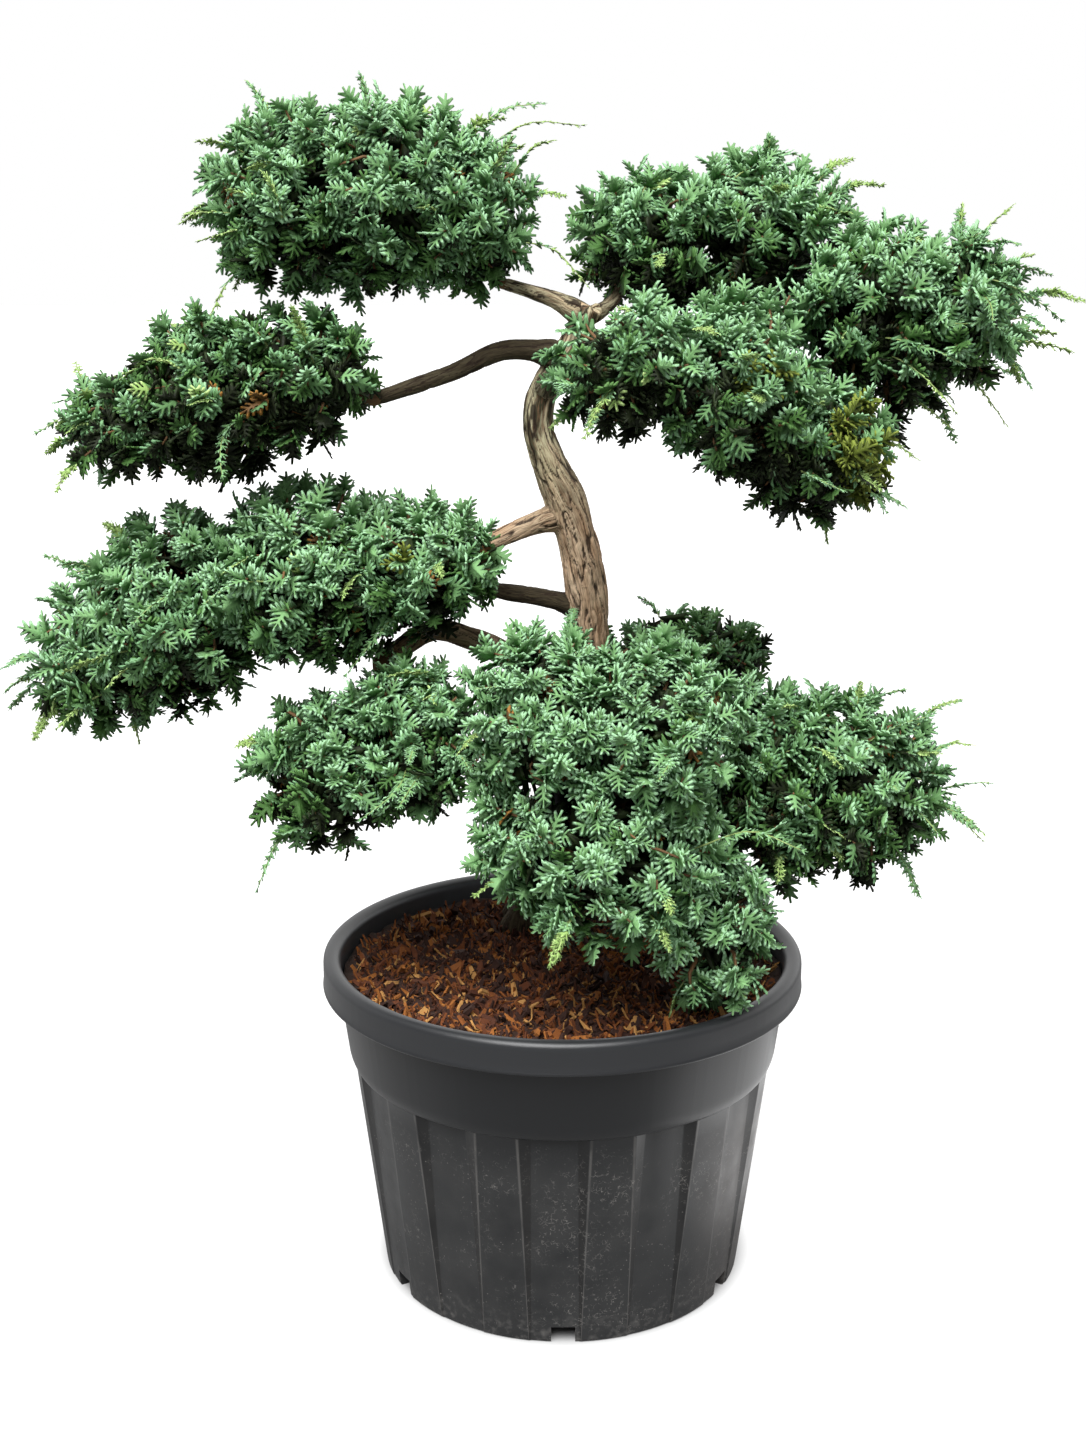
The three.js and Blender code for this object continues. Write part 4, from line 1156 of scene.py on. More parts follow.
# Tufts that hang or stand out of their lobes, where the photograph shows one.
MORE_TUFTS = {
    "top_left": [(-244, 40, 1222)],
    "middle_left": [(-424, -30, 1025), (-392, -30, 1020), (-364, -30, 1024)],
    "lower_left": [(-299, -60, 812), (-273, -60, 800), (-248, -70, 812), (-217, -75, 812), (-192, -75, 812),
                   (-166, -70, 822), (-145, -60, 836), (-496, -40, 738), (-457, -40, 736), (-423, -40, 747),
                   (-391, -40, 770)],
    "low_left": [(-205, -85, 792), (-182, -80, 800), (-127, -190, 685), (-143, -180, 669), (-115, -200, 721)],
    "low_front": [(-108, -200, 704), (-97, -210, 689), (-83, -220, 671), (-88, -230, 637), (-95, -230, 611),
                  (-94, -220, 741)],
    "low_right": [(265, -110, 545), (271, -185, 605), (291, -200, 632), (249, -200, 597), (227, -215, 618),
                  (318, -180, 603), (343, -160, 572), (278, -175, 578), (251, -225, 637)],
    "top_right": [(180, 50, 1210), (216, 50, 1206), (251, 50, 1204), (285, 40, 1206)],
    "right": [(427, -10, 1100), (383, -20, 1056), (377, -20, 1034), (255, -8, 1196), (285, -20, 1196),
              (273, -60, 1217), (264, -40, 1212)],
    "right_front": [(225, -4, 1196), (200, 0, 1196), (151, -100, 1210), (172, -110, 1215), (195, -120, 1219),
                    (223, -110, 1218), (249, -90, 1221)],
}
# Places where most sprays have turned olive or brown, and how far round them.
OLIVE_PLACES = [(343, -150, 1053, 60), (-168, -160, 945, 32), (-121, -80, 1310, 22), (-235, -80, 1275, 28),
                (195, -215, 1150, 24)]
BROWN_PLACES = [(-357, -140, 1152, 18), (-337, -130, 1123, 20)]
TURNED_SHARE = 0.7
print("lobes:", sum(len(lobes) for lobes in FOLIAGE.values()))

# %% Space round each cloud
WOOD_MARGIN = 3.0
POT_MARGIN = 4.0
# The trunk's fork shows above a cloud: x and z of the opening in front of it, and its radius.
FORK_OPENING = (30, 1218, 28)


def out_of(lobes, points):
    """How far out of each lobe the points lie: 1 is on a lobe's surface."""
    return np.linalg.norm((points[:, None] - lobes[None, :, :3]) / lobes[None, :, 3:], axis=-1)


def touches_wood(points):
    return wood_gaps(points).min(axis=1) < WOOD_MARGIN


def touches_pot(points):
    out = np.hypot(points[:, 0], points[:, 1])
    over_rim = (points[:, 2] > POT["top"] + POT_MARGIN) | (out > POT["rim"] + POT_MARGIN)
    in_mouth = (points[:, 2] > SOIL_LEVEL + POT_MARGIN) & (out < POT_MOUTH - POT_MARGIN)
    return ~over_rim & ~in_mouth


def hides_fork(points):
    x, z, radius = FORK_OPENING
    return (points[:, 1] < 0) & (np.hypot(points[:, 0] - x, points[:, 2] - z) < radius)


def in_own_space(name, points, margin=0.0):
    """Whether points are nearer to their own cloud than to any other, and clear of wood, pot and fork."""
    own = out_of(FOLIAGE[name], points).min(axis=1)
    others = [out_of(lobes, points).min(axis=1) for other, lobes in FOLIAGE.items() if other != name]
    nearer = own + margin < np.min(others, axis=0)
    return nearer & ~touches_wood(points) & ~touches_pot(points) & ~hides_fork(points)


print("clouds that share the space:", len(FOLIAGE))

# %% Twigs that end in tufts
TUFT_SPACING = 57
TUFT_SHARE = 0.825
TUFT_SHAKE = 0.05
TUFT_CLUMPS = 0.10
CLUMP_SIZE = 110
TWIG_JITTER = 0.15
TWIG_ROOT = 0.25  # how far out in its lobe a twig starts
HEADING_SHAKE = 0.22
HEADING_AWAY = 0.22  # how far a tuft turns away from the trunk
BURIED = 0.70  # a tuft that is this deep in another lobe of its cloud is left out
AREA_POWER = 1.6  # of the formula for the surface of an egg


def golden_directions(count):
    k = np.arange(count)
    height = 1 - (2 * k + 1) / count
    out = np.sqrt(1 - height**2)
    turn = k * math.pi * (3 - math.sqrt(5))
    return np.stack([out * np.cos(turn), out * np.sin(turn), height], axis=-1)


def lobe_area(half):
    a, b, c = half**AREA_POWER
    return 4 * math.pi * ((a * b + a * c + b * c) / 3) ** (1 / AREA_POWER)


def away_from_trunk(points):
    """Level directions from the trunk's axis out to the points."""
    nearest = np.abs(points[:, None, 2] - trunk_path[None, :, 2]).argmin(axis=1)
    away = points - trunk_path[nearest]
    away[:, 2] = 0
    return unit(away)


def placed_tufts(name):
    """Root, tip and heading of the twigs that end at a given place."""
    tip = np.array(MORE_TUFTS.get(name, []), dtype=float).reshape(-1, 3)
    lobe = FOLIAGE[name][out_of(FOLIAGE[name], tip).argmin(axis=1)]
    out = tip - lobe[:, :3]
    return lobe[:, :3] + TWIG_ROOT * out, tip, unit(out / lobe[:, 3:]**2)


def tufts_of(name, random):
    """Root, tip and heading of every twig of a cloud."""
    roots, tips, headings = ([part] for part in placed_tufts(name))
    for index, lobe in enumerate(FOLIAGE[name]):
        centre, half = lobe[:3], lobe[3:]
        count = round(lobe_area(half) / TUFT_SPACING**2)
        u = unit(golden_directions(count) + TWIG_JITTER * random.uniform(-1, 1, (count, 3)))
        skin = centre + u * half
        clump = np.array([noise.noise(Vector(p)) for p in skin / CLUMP_SIZE])
        share = TUFT_SHARE + TUFT_CLUMPS * clump + TUFT_SHAKE * random.uniform(-1, 1, count)
        tip = centre + u * half * share[:, None]
        shake = HEADING_SHAKE * random.normal(size=(count, 3))
        heading = unit(u / half) + shake + HEADING_AWAY * away_from_trunk(tip)
        siblings = np.delete(FOLIAGE[name], index, axis=0)
        buried = out_of(siblings, tip).min(axis=1) < BURIED
        keep = ~buried & in_own_space(name, tip)
        roots.append((centre + u * half * TWIG_ROOT)[keep])
        tips.append(tip[keep])
        headings.append(unit(heading)[keep])
    return np.vstack(roots), np.vstack(tips), np.vstack(headings)


cloud_random = {name: np.random.default_rng(SEED + 100 * k) for k, name in enumerate(FOLIAGE)}
tufts = {name: tufts_of(name, cloud_random[name]) for name in FOLIAGE}
print("tufts:", {name: len(tips) for name, (_, tips, _) in tufts.items()})

# %% Sizes and tints of the sprays
SPRAYS_PER_TUFT = 13
TUFT_LENGTH = 38
SPRAY_LENGTH = 28
SPRAY_SIZES = (0.8, 1.2)
SPRAY_LEANS = (20, 62)  # degrees at the tip of the tuft, and how much more at its foot
LEAN_POWER = 0.8
SPRAY_TURN = 2.4  # radians round the tuft from one spray to the next, nearly the golden angle
TURN_SHAKE, LEAN_SHAKE, WAY_SHAKE, FACE_SHAKE = 0.3, 0.12, 0.08, 0.3
SPRAY_MARGIN = -0.08
COMB = 0.6  # how far the sprays of a tuft are combed outwards
COMB_UP, COMB_DOWN = 0.35, -0.8  # and upwards, or downwards where the tuft looks down
LOOKS_UP = 0.15
INNER_PER_TUFT = 3
INNER_DEPTH = 50
INNER_LOW = 0.6
INNER_LEANS = (62, 20)
INNER_SIZE = 2.0
INNER_SHARE = 0.74  # how far out in their lobe the inner sprays may end
BROAD_SHAPES = 6
SLIM_SHAPES = 3
# The tints, by number: painted shade, blue-green, silvered and painted light, leaf green, fresh yellow-green,
# brown, olive.
SHADE, BLUE, SILVER_AND_LIT, GREEN, FRESH, OLD, OLIVE = range(7)
# Outer sprays that look up get the paler tints and inner ones that look down the darker tints: painted light
# and painted shade.
OPEN_LIMITS = (-0.16, 0.06, 0.34)  # how open a spray lies at most that is in the shade, green or blue-green
OPEN_BY_PLACE, OPEN_BY_LIFT, OPEN_SHAKE = 0.5, 0.6, 0.22
FRESH_SHARE = 0.004
OLD_SHARE, OLD_FROM = 0.02, 0.6
# How much lighter or darker than the others some clouds are painted, as painted light and shade, and where it
# follows the light less.
CLOUD_PAINTED_LIGHT = {"top_left": 0.1, "middle_left": -0.22, "lower_left": 0.04, "low_left": -0.08, "low_front": 0.34,
         "low_right": -0.08, "low_rear": -0.2, "top_right": -0.16, "right": -0.1, "right_front": -0.25}
FOLLOWS_LIGHT = {"top_left": 0.6, "middle_left": 0.5, "low_left": 0.7, "low_front": 0.7, "low_right": 0.6,
                 "low_rear": 0.4}


def spray_tints(name, low, lift, random):
    """Tints by how open a spray lies, as painted light: the outer and upper ones get the palest tints, the
    inner and lower ones the darkest.
    """
    painted_light = FOLLOWS_LIGHT.get(name, 1.0) * (OPEN_BY_PLACE * (1 - low) + OPEN_BY_LIFT * lift)
    painted_light = painted_light + CLOUD_PAINTED_LIGHT[name] + OPEN_SHAKE * random.normal(size=low.shape)
    tint = np.select([painted_light < limit for limit in OPEN_LIMITS], [SHADE, GREEN, BLUE], SILVER_AND_LIT)
    tint = np.where(random.uniform(size=low.shape) < FRESH_SHARE, FRESH, tint)
    return np.where((random.uniform(size=low.shape) < OLD_SHARE) & (low > OLD_FROM), OLD, tint)


print("sprays of a tuft:", SPRAYS_PER_TUFT, "and further in:", INNER_PER_TUFT)

# %% Sprays round each tuft


def crossways(headings):
    """Two directions across each heading, at right angles to each other."""
    helper = np.where(np.abs(headings[:, 2:]) < 0.8, (0, 0, 1.0), (1.0, 0, 0))
    first = unit(np.cross(headings, helper))
    return first[:, None], np.cross(headings, first)[:, None]


def laid_round(name, low, leans, sink, random):
    """Sprays round the twigs of a cloud: roots, headings and flat sides, from shares of the way down."""
    _, tips, headings = tufts[name]
    count = low.shape
    turn = np.arange(count[1])[None] * SPRAY_TURN + random.uniform(0, 2 * math.pi, (len(tips), 1))
    turn = turn + random.normal(0, TURN_SHAKE, count)
    lean = np.radians(leans[0] + leans[1] * low**LEAN_POWER) + random.normal(0, LEAN_SHAKE, count)
    axis = headings[:, None]
    first, second = crossways(headings)
    raised = np.where(headings[:, 2:] > LOOKS_UP, COMB_UP, COMB_DOWN)
    comb = away_from_trunk(tips) + raised * np.array([0, 0, 1.0])
    comb = unit(comb - headings * (comb * headings).sum(axis=1, keepdims=True))[:, None]
    around = unit(first * np.cos(turn)[..., None] + second * np.sin(turn)[..., None] + COMB * comb)
    along = axis * np.cos(lean)[..., None] + around * np.sin(lean)[..., None]
    along = unit(along + WAY_SHAKE * random.normal(size=along.shape))
    root = tips[:, None] - axis * (sink + TUFT_LENGTH * low)[..., None]
    facing = axis - along * (axis * along).sum(axis=-1, keepdims=True)
    facing = unit(facing + FACE_SHAKE * random.normal(size=along.shape))
    return {"root": root.reshape(-1, 3), "along": along.reshape(-1, 3), "facing": facing.reshape(-1, 3)}


def kept(name, made):
    """Only the sprays that stay in their cloud's own space from root to end."""
    end = made["root"] + made["along"] * SPRAY_LENGTH * made["size"][:, None]
    keep = in_own_space(name, end, SPRAY_MARGIN) & in_own_space(name, made["root"], SPRAY_MARGIN)
    return {key: values[keep] for key, values in made.items()}


def outer_sprays(name, random):
    _, tips, headings = tufts[name]
    count = (len(tips), SPRAYS_PER_TUFT)
    low = (np.arange(SPRAYS_PER_TUFT)[None] + random.uniform(0, 1, count)) / SPRAYS_PER_TUFT
    made = laid_round(name, low, SPRAY_LEANS, 0, random)
    made["size"] = random.uniform(*SPRAY_SIZES, count).ravel()
    made["tint"] = spray_tints(name, low, headings[:, None, 2], random).ravel()
    made["shape"] = random.integers(0, BROAD_SHAPES, count).ravel()
    for places, turned in ((OLIVE_PLACES, OLIVE), (BROWN_PLACES, OLD)):
        for *place, reach in places:
            near = np.linalg.norm(made["root"] - place, axis=1) < reach
            picked = random.uniform(size=len(near)) < TURNED_SHARE
            made["tint"] = np.where(near & picked, turned, made["tint"])
    return kept(name, made)


def inner_sprays(name, random):
    """Large dark sprays further in, painted shade that closes the view through a cloud."""
    count = (len(tufts[name][1]), INNER_PER_TUFT)
    low = random.uniform(0, INNER_LOW, count)
    made = laid_round(name, low, INNER_LEANS, INNER_DEPTH, random)
    made["size"] = np.full(count, INNER_SIZE).ravel()
    made["tint"] = np.full(count, SHADE).ravel()
    made["shape"] = BROAD_SHAPES + random.integers(0, SLIM_SHAPES, count).ravel()
    end = made["root"] + made["along"] * SPRAY_LENGTH * INNER_SIZE
    deep = out_of(FOLIAGE[name], end).min(axis=1) < INNER_SHARE
    return kept(name, {key: values[deep] for key, values in made.items()})


def joined(*layers):
    """Several layers of sprays as one."""
    return {key: np.concatenate([layer[key] for layer in layers]) for key in layers[0]}


sprays = {}
for name in FOLIAGE:
    sprays[name] = joined(*(lay(name, cloud_random[name]) for lay in (outer_sprays, inner_sprays)))
print("sprays:", sum(len(s["root"]) for s in sprays.values()))


# %% [markdown]
# ## Long shoots
# Between clippings the juniper throws long soft shoots that stand out of the clouds and nod at the tip.
# About half of them are yellow-green towards the tip, and all are feathered with small sprays on both sides.
# The longest end where the solids' shoots end, and some more end where the photograph shows one. The others
# start on a twig, most of them at the far end of their cloud, and run straight with a sag that grows with the
# square of the distance, as a soft stem bends.

# %% Where shoots end
# More tips that the photograph shows, and how many shoots each cloud has by chance.
MORE_TIPS = {
    "top_left": [(-28, 40, 1432), (-14, 20, 1391), (-2, 20, 1330), (-416, 0, 1180), (-432, 0, 1309),
                 (-365, 80, 1456), (-49, 0, 1384), (-73, 20, 1415), (25, -30, 1232)],
    "middle_left": [(-576, -60, 1076), (-534, -60, 1014)],
    "lower_left": [(-650, -80, 800), (-654, -60, 747), (-623, -80, 715), (-531, -60, 962), (-581, -80, 918),
                   (-137, -180, 924), (-602, -80, 742), (-582, -60, 714), (-612, -60, 875), (-506, -60, 703),
                   (-654, -70, 769)],
    "low_left": [(-369, -160, 725), (-104, -240, 718)],
    "low_front": [(-11, -340, 536), (110, -330, 545), (248, -330, 656), (13, -60, 862)],
    "low_right": [(473, -120, 714), (459, -100, 763), (478, -140, 619), (418, -140, 537), (344, -100, 781)],
    "low_rear": [(260, 180, 775)],
    "top_right": [(341, 120, 1374), (380, 120, 1345), (244, 100, 1396), (110, -10, 1253)],
    "right": [(535, 0, 1264), (589, -10, 1214), (543, -40, 1187), (456, 20, 1312), (522, -40, 1126),
              (456, -20, 1055)],
    "right_front": [(-6, -200, 1126), (25, -230, 1092), (360, -120, 987), (198, -270, 1121)],
}
SHOOTS = {"top_left": 20, "middle_left": 20, "lower_left": 22, "low_left": 8, "low_front": 8, "low_right": 20,
          "low_rear": 4, "top_right": 12, "right": 26, "right_front": 12}
print("shoots by chance, at most:", sum(SHOOTS.values()))

# %% Paths of the shoots
SHOOT_LENGTHS = (40, 100)
SHOOT_STEPS = 9
SHOOT_SAGS = (0.1, 0.5)
SHOOT_SHAKE, SHOOT_AWAY, SHOOT_LIFT, SHOOT_SWAY = 0.35, 0.6, 0.15, 0.1
SHOOT_ROOT = 25  # how far inside the tip of its twig a shoot starts
SHOOT_ROOM = 12  # how far past the box of the solids a shoot may end
CLEAR_FROM = 3  # the step from which a shoot has to be in its cloud's own space
# How readily a twig bears one: any twig, one at the far end that looks outwards, and one that looks up.
WISHES = (0.06, 1.2, 0.25)
LEAST_WISH = 0.01
TIP_ARCH, ARCH_PLACE = 0.16, 0.55
CORE_SHARE = 0.72  # how far out in its lobe an arched shoot starts


def arched_shoot(name, tip):
    """The path of a shoot that ends at a given tip, as in the solids."""
    tip = np.array(tip, dtype=float)
    reach = out_of(FOLIAGE[name], tip[None])[0]
    lobe = FOLIAGE[name][reach.argmin()]
    root = lobe[:3] + (tip - lobe[:3]) * CORE_SHARE / reach.min()
    middle = root + ARCH_PLACE * (tip - root) + (0, 0, TIP_ARCH * np.linalg.norm(tip - root))
    path = smooth_path([root, middle, tip], 1.0)
    return path[np.linspace(0, len(path) - 1, SHOOT_STEPS).round().astype(int)]


def loose_shoots(name, random):
    """Paths of shoots from twigs that were picked by chance, the outer ones more often."""
    _, tips, headings = tufts[name]
    away = away_from_trunk(tips)
    outward = (headings * away).sum(axis=1)
    far = np.linalg.norm((tips - trunk_path[len(trunk_path) // 2])[:, :2], axis=1)
    any_twig, outer, upper = WISHES
    wish = any_twig + outer * outward * (far / far.max())**2 + upper * headings[:, 2]
    wish = np.clip(wish, LEAST_WISH, None)
    count = SHOOTS[name]
    pick = random.choice(len(tips), count, replace=False, p=wish / wish.sum())
    shake = SHOOT_SHAKE * random.normal(size=(count, 3))
    heading = unit(headings[pick] + shake + SHOOT_AWAY * away[pick] + (0, 0, SHOOT_LIFT))
    length = random.uniform(*SHOOT_LENGTHS, count)[:, None, None]
    sag = random.uniform(*SHOOT_SAGS, count)[:, None, None]
    t = np.linspace(0, 1, SHOOT_STEPS)[None, :, None]
    side = unit(np.cross(heading, (0, 0, 1.0)))[:, None]
    sway = random.normal(0, SHOOT_SWAY, count)[:, None, None] * np.sin(3 * t)
    paths = tips[pick][:, None] - heading[:, None] * SHOOT_ROOT
    return paths + length * (heading[:, None] * t + side * sway - np.array([0, 0, 1.0]) * sag * t**2)


def shoots_of(name, random):
    paths = loose_shoots(name, random)
    low, high = (np.array(corner) / MM for corner in CAD_BOX)
    inside = ((paths[:, -1] > low - SHOOT_ROOM) & (paths[:, -1] < high + SHOOT_ROOM)).all(axis=1)
    clear = np.all([in_own_space(name, paths[:, k]) for k in range(CLEAR_FROM, SHOOT_STEPS)], axis=0)
    arched = [arched_shoot(name, tip) for tip in TIPS[name] + MORE_TIPS[name]]
    return np.concatenate([arched, paths[inside & clear]])


shoots = {name: shoots_of(name, cloud_random[name]) for name in FOLIAGE}
print("long shoots:", sum(len(paths) for paths in shoots.values()))

# %% Feathering of the shoots
SHOOT_SPRAYS = 16
SHOOT_SPRAY_SIZES = (0.52, 0.27)  # beside a full spray, near the foot of a shoot and at its tip
FEATHER_SIZES = (0.75, 1.25)
FEATHERS_FROM = 0.25  # how far along a shoot its sprays start
FEATHER_SPREAD = 0.6
FLAT_SHAKE, FEATHER_SHAKE = 0.4, 0.12
FRESH_SHOOTS, FRESH_FROM = 0.5, 0.4  # share of the shoots that are fresh, and how far along that starts


def feathers_of(name, random):
    """Small sprays along both sides of each shoot, and one at its tip."""
    paths = shoots[name]
    t = np.linspace(FEATHERS_FROM, 1.0, SHOOT_SPRAYS)
    at = t * (SHOOT_STEPS - 1)
    step = np.minimum(at.astype(int), SHOOT_STEPS - 2)
    root = paths[:, step] + (paths[:, step + 1] - paths[:, step]) * (at - step)[None, :, None]
    heading = unit(paths[:, step + 1] - paths[:, step])
    flat = unit(np.cross(heading, (0, 0, 1.0)) + FLAT_SHAKE * random.normal(size=(len(paths), 1, 3)))
    side = np.where(np.arange(SHOOT_SPRAYS) % 2, 1.0, -1.0)
    side[-1] = 0.0
    spread = flat * (FEATHER_SPREAD * side)[None, :, None]
    along = unit(heading + spread + FEATHER_SHAKE * random.normal(size=heading.shape))
    facing = unit(np.cross(flat, heading) + FACE_SHAKE * random.normal(size=heading.shape))
    count = root.shape[:2]
    size = np.interp(t, (FEATHERS_FROM, 1.0), SHOOT_SPRAY_SIZES)[None] * random.uniform(*FEATHER_SIZES, count)
    fresh = random.uniform(size=(len(paths), 1)) < FRESH_SHOOTS
    tint = np.where(fresh & (t[None] > FRESH_FROM), FRESH, SILVER_AND_LIT)
    shape = BROAD_SHAPES + random.integers(0, SLIM_SHAPES, count)
    return {"root": root.reshape(-1, 3), "along": along.reshape(-1, 3), "facing": facing.reshape(-1, 3),
            "size": size.ravel(), "tint": tint.ravel(), "shape": shape.ravel()}


for name in FOLIAGE:
    sprays[name] = joined(sprays[name], feathers_of(name, cloud_random[name]))
print("sprays with the shoots:", sum(len(s["root"]) for s in sprays.values()))

# %% [markdown]
# ## One spray
# A spray of this juniper is a flat fan, about 28 mm long, of short fingers that are clad in tiny scale
# leaves. The scales are far too small to show, and single fingers would cost too many faces. So a fan is one
# closed plate with a lobed outline: a ridge runs along every finger on its upper side, and its under side is
# flat. A few fans of slightly different fingers are enough, because each is turned, scaled and tinted on its
# own. The faces at the end of every finger are marked, as its growing tip is paler, and the rest is painted
# darker, partly as painted shade.

# %% Fingers of a spray
NOTCH_SHARE = 0.36  # how far along two fingers the notch between them lies
RIDGE_SHARE = 0.78
RIDGE_HEIGHT = 0.08
AXIS_HEIGHT = 0.7 * RIDGE_HEIGHT
BLUNT_HALF = 0.044  # half the width of a finger's round end
FINGERS_FROM = (0.2, 0.76)  # where on the axis the first pair of fingers starts, and the last finger
# How far the fingers open and how long they are, and how much less of both further up the axis.
OPENING, OPENING_LOSS = 1.3, 0.95
LENGTH, LENGTH_LOSS = 1.12, 0.45
ANGLE_SHAKE = 6
LENGTH_SHAKES = (0.88, 1.12)
CURLS, CUPS = (-0.2, 0.0), (-0.5, 0.1)
END_SHAKE = 0.04
# Each kind: pairs of side fingers, how far they spread in degrees, and their length.
FAN = (3, 62, 0.45)
PLUME = (1, 34, 0.62)


def fan_fingers(pairs, spread, reach, random):
    """Place on the axis, root, direction and length of every finger, in order round the fan."""
    rise = np.linspace(*FINGERS_FROM, pairs + 1)
    fingers = [(pairs, 0.0, 1 - rise[-1])]
    for k in range(pairs - 1, -1, -1):
        angles = spread * (OPENING - OPENING_LOSS * rise[k]) + random.uniform(-ANGLE_SHAKE, ANGLE_SHAKE, 2)
        lengths = reach * (LENGTH - LENGTH_LOSS * rise[k]) * random.uniform(*LENGTH_SHAKES, 2)
        fingers = [(k, angles[0], lengths[0]), *fingers, (k, -angles[1], lengths[1])]
    order, turns, lengths = zip(*fingers)
    roots = np.array([(0.0, rise[k]) for k in order])
    turns = np.radians(turns)
    ways = np.stack([np.sin(turns), np.cos(turns)], axis=-1)
    return order, roots, ways, np.array(lengths)[:, None]


print("fingers of a fan:", 2 * FAN[0] + 1, "and of a plume:", 2 * PLUME[0] + 1)

# %% Spray shapes


def spray_mesh(name, pairs, spread, reach, random):
    """A lobed plate one unit long that grows along +Z, lies flat across X and is ridged towards +Y."""
    order, roots, ways, lengths = fan_fingers(pairs, spread, reach, random)
    count = len(order)
    middles = roots + NOTCH_SHARE * lengths * ways
    notches = (middles[:-1] + middles[1:]) / 2
    ends = roots + lengths * ways
    beside = BLUNT_HALF * np.stack([ways[:, 1], -ways[:, 0]], axis=-1)
    flat = np.vstack([[(0, 0)], np.unique(roots, axis=0), notches, ends + beside, ends - beside,
                      roots + RIDGE_SHARE * lengths * ways])
    axis, notch = 1, 1 + pairs + 1
    right, left, ridge = (notch + count - 1 + k * count for k in range(3))
    height = np.zeros(len(flat))
    height[axis:notch] = AXIS_HEIGHT
    height[ridge:] = RIDGE_HEIGHT
    curl, cup = random.uniform(*CURLS), random.uniform(*CUPS)
    height += curl * flat[:, 1]**2 + cup * flat[:, 0]**2
    height[right:ridge] += np.tile(random.uniform(-END_SHAKE, END_SHAKE, count), 2)
    points = np.stack([flat[:, 0], height, flat[:, 1]], axis=-1)
    faces, outer = [], []
    for i, k in enumerate(order):
        root, peak, first, last = axis + k, ridge + i, right + i, left + i
        before = notch + i - 1 if i else 0
        after = notch + i if i < count - 1 else 0
        faces += [(root, before, peak), (before, first, peak), (first, last, peak), (last, after, peak)]
        faces += [(after, root, peak), (before, after, last), (before, last, first)]
        outer += [False, True, True, True, False, False, False]
        if after:
            faces.append((root, after, axis + order[i + 1]))
            outer.append(False)
    faces += [(0, notch + j, notch + j + 1) for j in range(count - 2)]
    outer += [False] * (count - 2)
    mesh = mesh_from_arrays(name, points, np.array(faces))
    store(mesh, "outer", outer, "FACE")
    face_out(mesh)
    return mesh


def face_out(mesh):
    """Turns all faces of a closed mesh outwards."""
    loose = bmesh.new()
    loose.from_mesh(mesh)
    bmesh.ops.recalc_face_normals(loose, faces=loose.faces)
    loose.to_mesh(mesh)
    loose.free()


spray_random = np.random.default_rng(SEED)
shapes = [spray_mesh(f"fan_{k}", *FAN, spray_random) for k in range(BROAD_SHAPES)]
shapes += [spray_mesh(f"plume_{k}", *PLUME, spray_random) for k in range(SLIM_SHAPES)]
spray_set = hidden_set("spray", shapes)
print("faces of one fan:", len(shapes[0].polygons), "and of one plume:", len(shapes[-1].polygons))

# %% [markdown]
# ### Scale leaves
# The leaf surface is matt with a thin waxy bloom that turns green to blue-grey. A colour texture across so
# many loose pieces would fall anywhere, so colour is dealt out by spray instead: seven tints, each with a
# darker tone for the foot of its fingers, partly painted shade, and a paler one for their ends. The shaded
# tint is painted shade, and the silvered one is partly painted light. The scales are under 2 mm, so their bump
# is drawn a little coarser than life to show at all.

# %% Leaf tints
# The foot tones are darker partly as painted shade between the fingers; the shaded tint is painted shade and
# the silvered tint partly painted light.
LEAF_TINTS = [
    ("shaded", "#161d0b", "#232f15"),
    ("blue_green", "#54784a", "#6e986c"),
    ("silvered_and_lit", "#719a65", "#94bd93"),
    ("leaf_green", "#3e602e", "#557c42"),
    ("fresh", "#86a45c", "#acc880"),
    ("old", "#5a4020", "#8a622c"),
    ("olive", "#525e20", "#748234"),
]
SCALE_SIZE = 2.2


def leaf_tone(name, colour):
    tone, tree = start_material(f"juniper_scale_leaf_{name}")
    place = add_node(tree, "ShaderNodeTexCoord").outputs["Object"]
    scales = add_node(tree, "ShaderNodeTexVoronoi", {"Vector": place, "Scale": 1 / (SCALE_SIZE * MM)})
    bump = add_node(tree, "ShaderNodeBump",
                    {"Height": scales.outputs["Distance"], "Strength": 0.35, "Distance": 0.8 * MM})
    end_material(tree, {"Base Color": linear(colour), "Roughness": 0.6, "Specular IOR Level": 0.2,
                        "Normal": bump.outputs["Normal"]})
    return tone


leaf_tones = [(leaf_tone(f"{n}_foot", a), leaf_tone(f"{n}_end", b)) for n, a, b in LEAF_TINTS]
print("leaf tones:", 2 * len(leaf_tones))

# %% Set the sprays on their twigs


def spray_tree(shapes, tones):
    tree, given = start_group("set_sprays", "Roots", ["Spray length"], "Foliage")
    kinds = {"along": "FLOAT_VECTOR", "facing": "FLOAT_VECTOR", "size": "FLOAT", "shape": "INT",
             "tint": "INT", "outer": "BOOLEAN"}
    read = {}
    for name, kind in kinds.items():
        stored = add_node(tree, "GeometryNodeInputNamedAttribute", {"Name": name}, data_type=kind)
        read[name] = stored.outputs["Attribute"]
    turn = add_node(tree, "FunctionNodeAxesToRotation",
                    {"Primary Axis": read["along"], "Secondary Axis": read["facing"]},
                    primary_axis="Z", secondary_axis="Y")
    inner = add_node(tree, "FunctionNodeBooleanMath", {0: read["outer"]}, operation="NOT")
    laid = {"Points": given["Roots"], "Instance Index": read["shape"], "Rotation": turn.outputs[0],
            "Scale": times(tree, read["size"], given["Spray length"])}
    together = add_node(tree, "GeometryNodeJoinGeometry")
    for index, (foot_tone, end_tone) in enumerate(tones):
        part = real_copies(tree, shapes, read["tint"], index, laid)
        for faces, tone in ((inner.outputs[0], foot_tone), (read["outer"], end_tone)):
            finished = add_node(tree, "GeometryNodeSetMaterial",
                                {"Geometry": part, "Selection": faces, "Material": tone})
            part = finished.outputs[0]
        tree.links.new(part, together.inputs[0])
    add_node(tree, "NodeGroupOutput", {"Foliage": together.outputs[0]})
    return tree


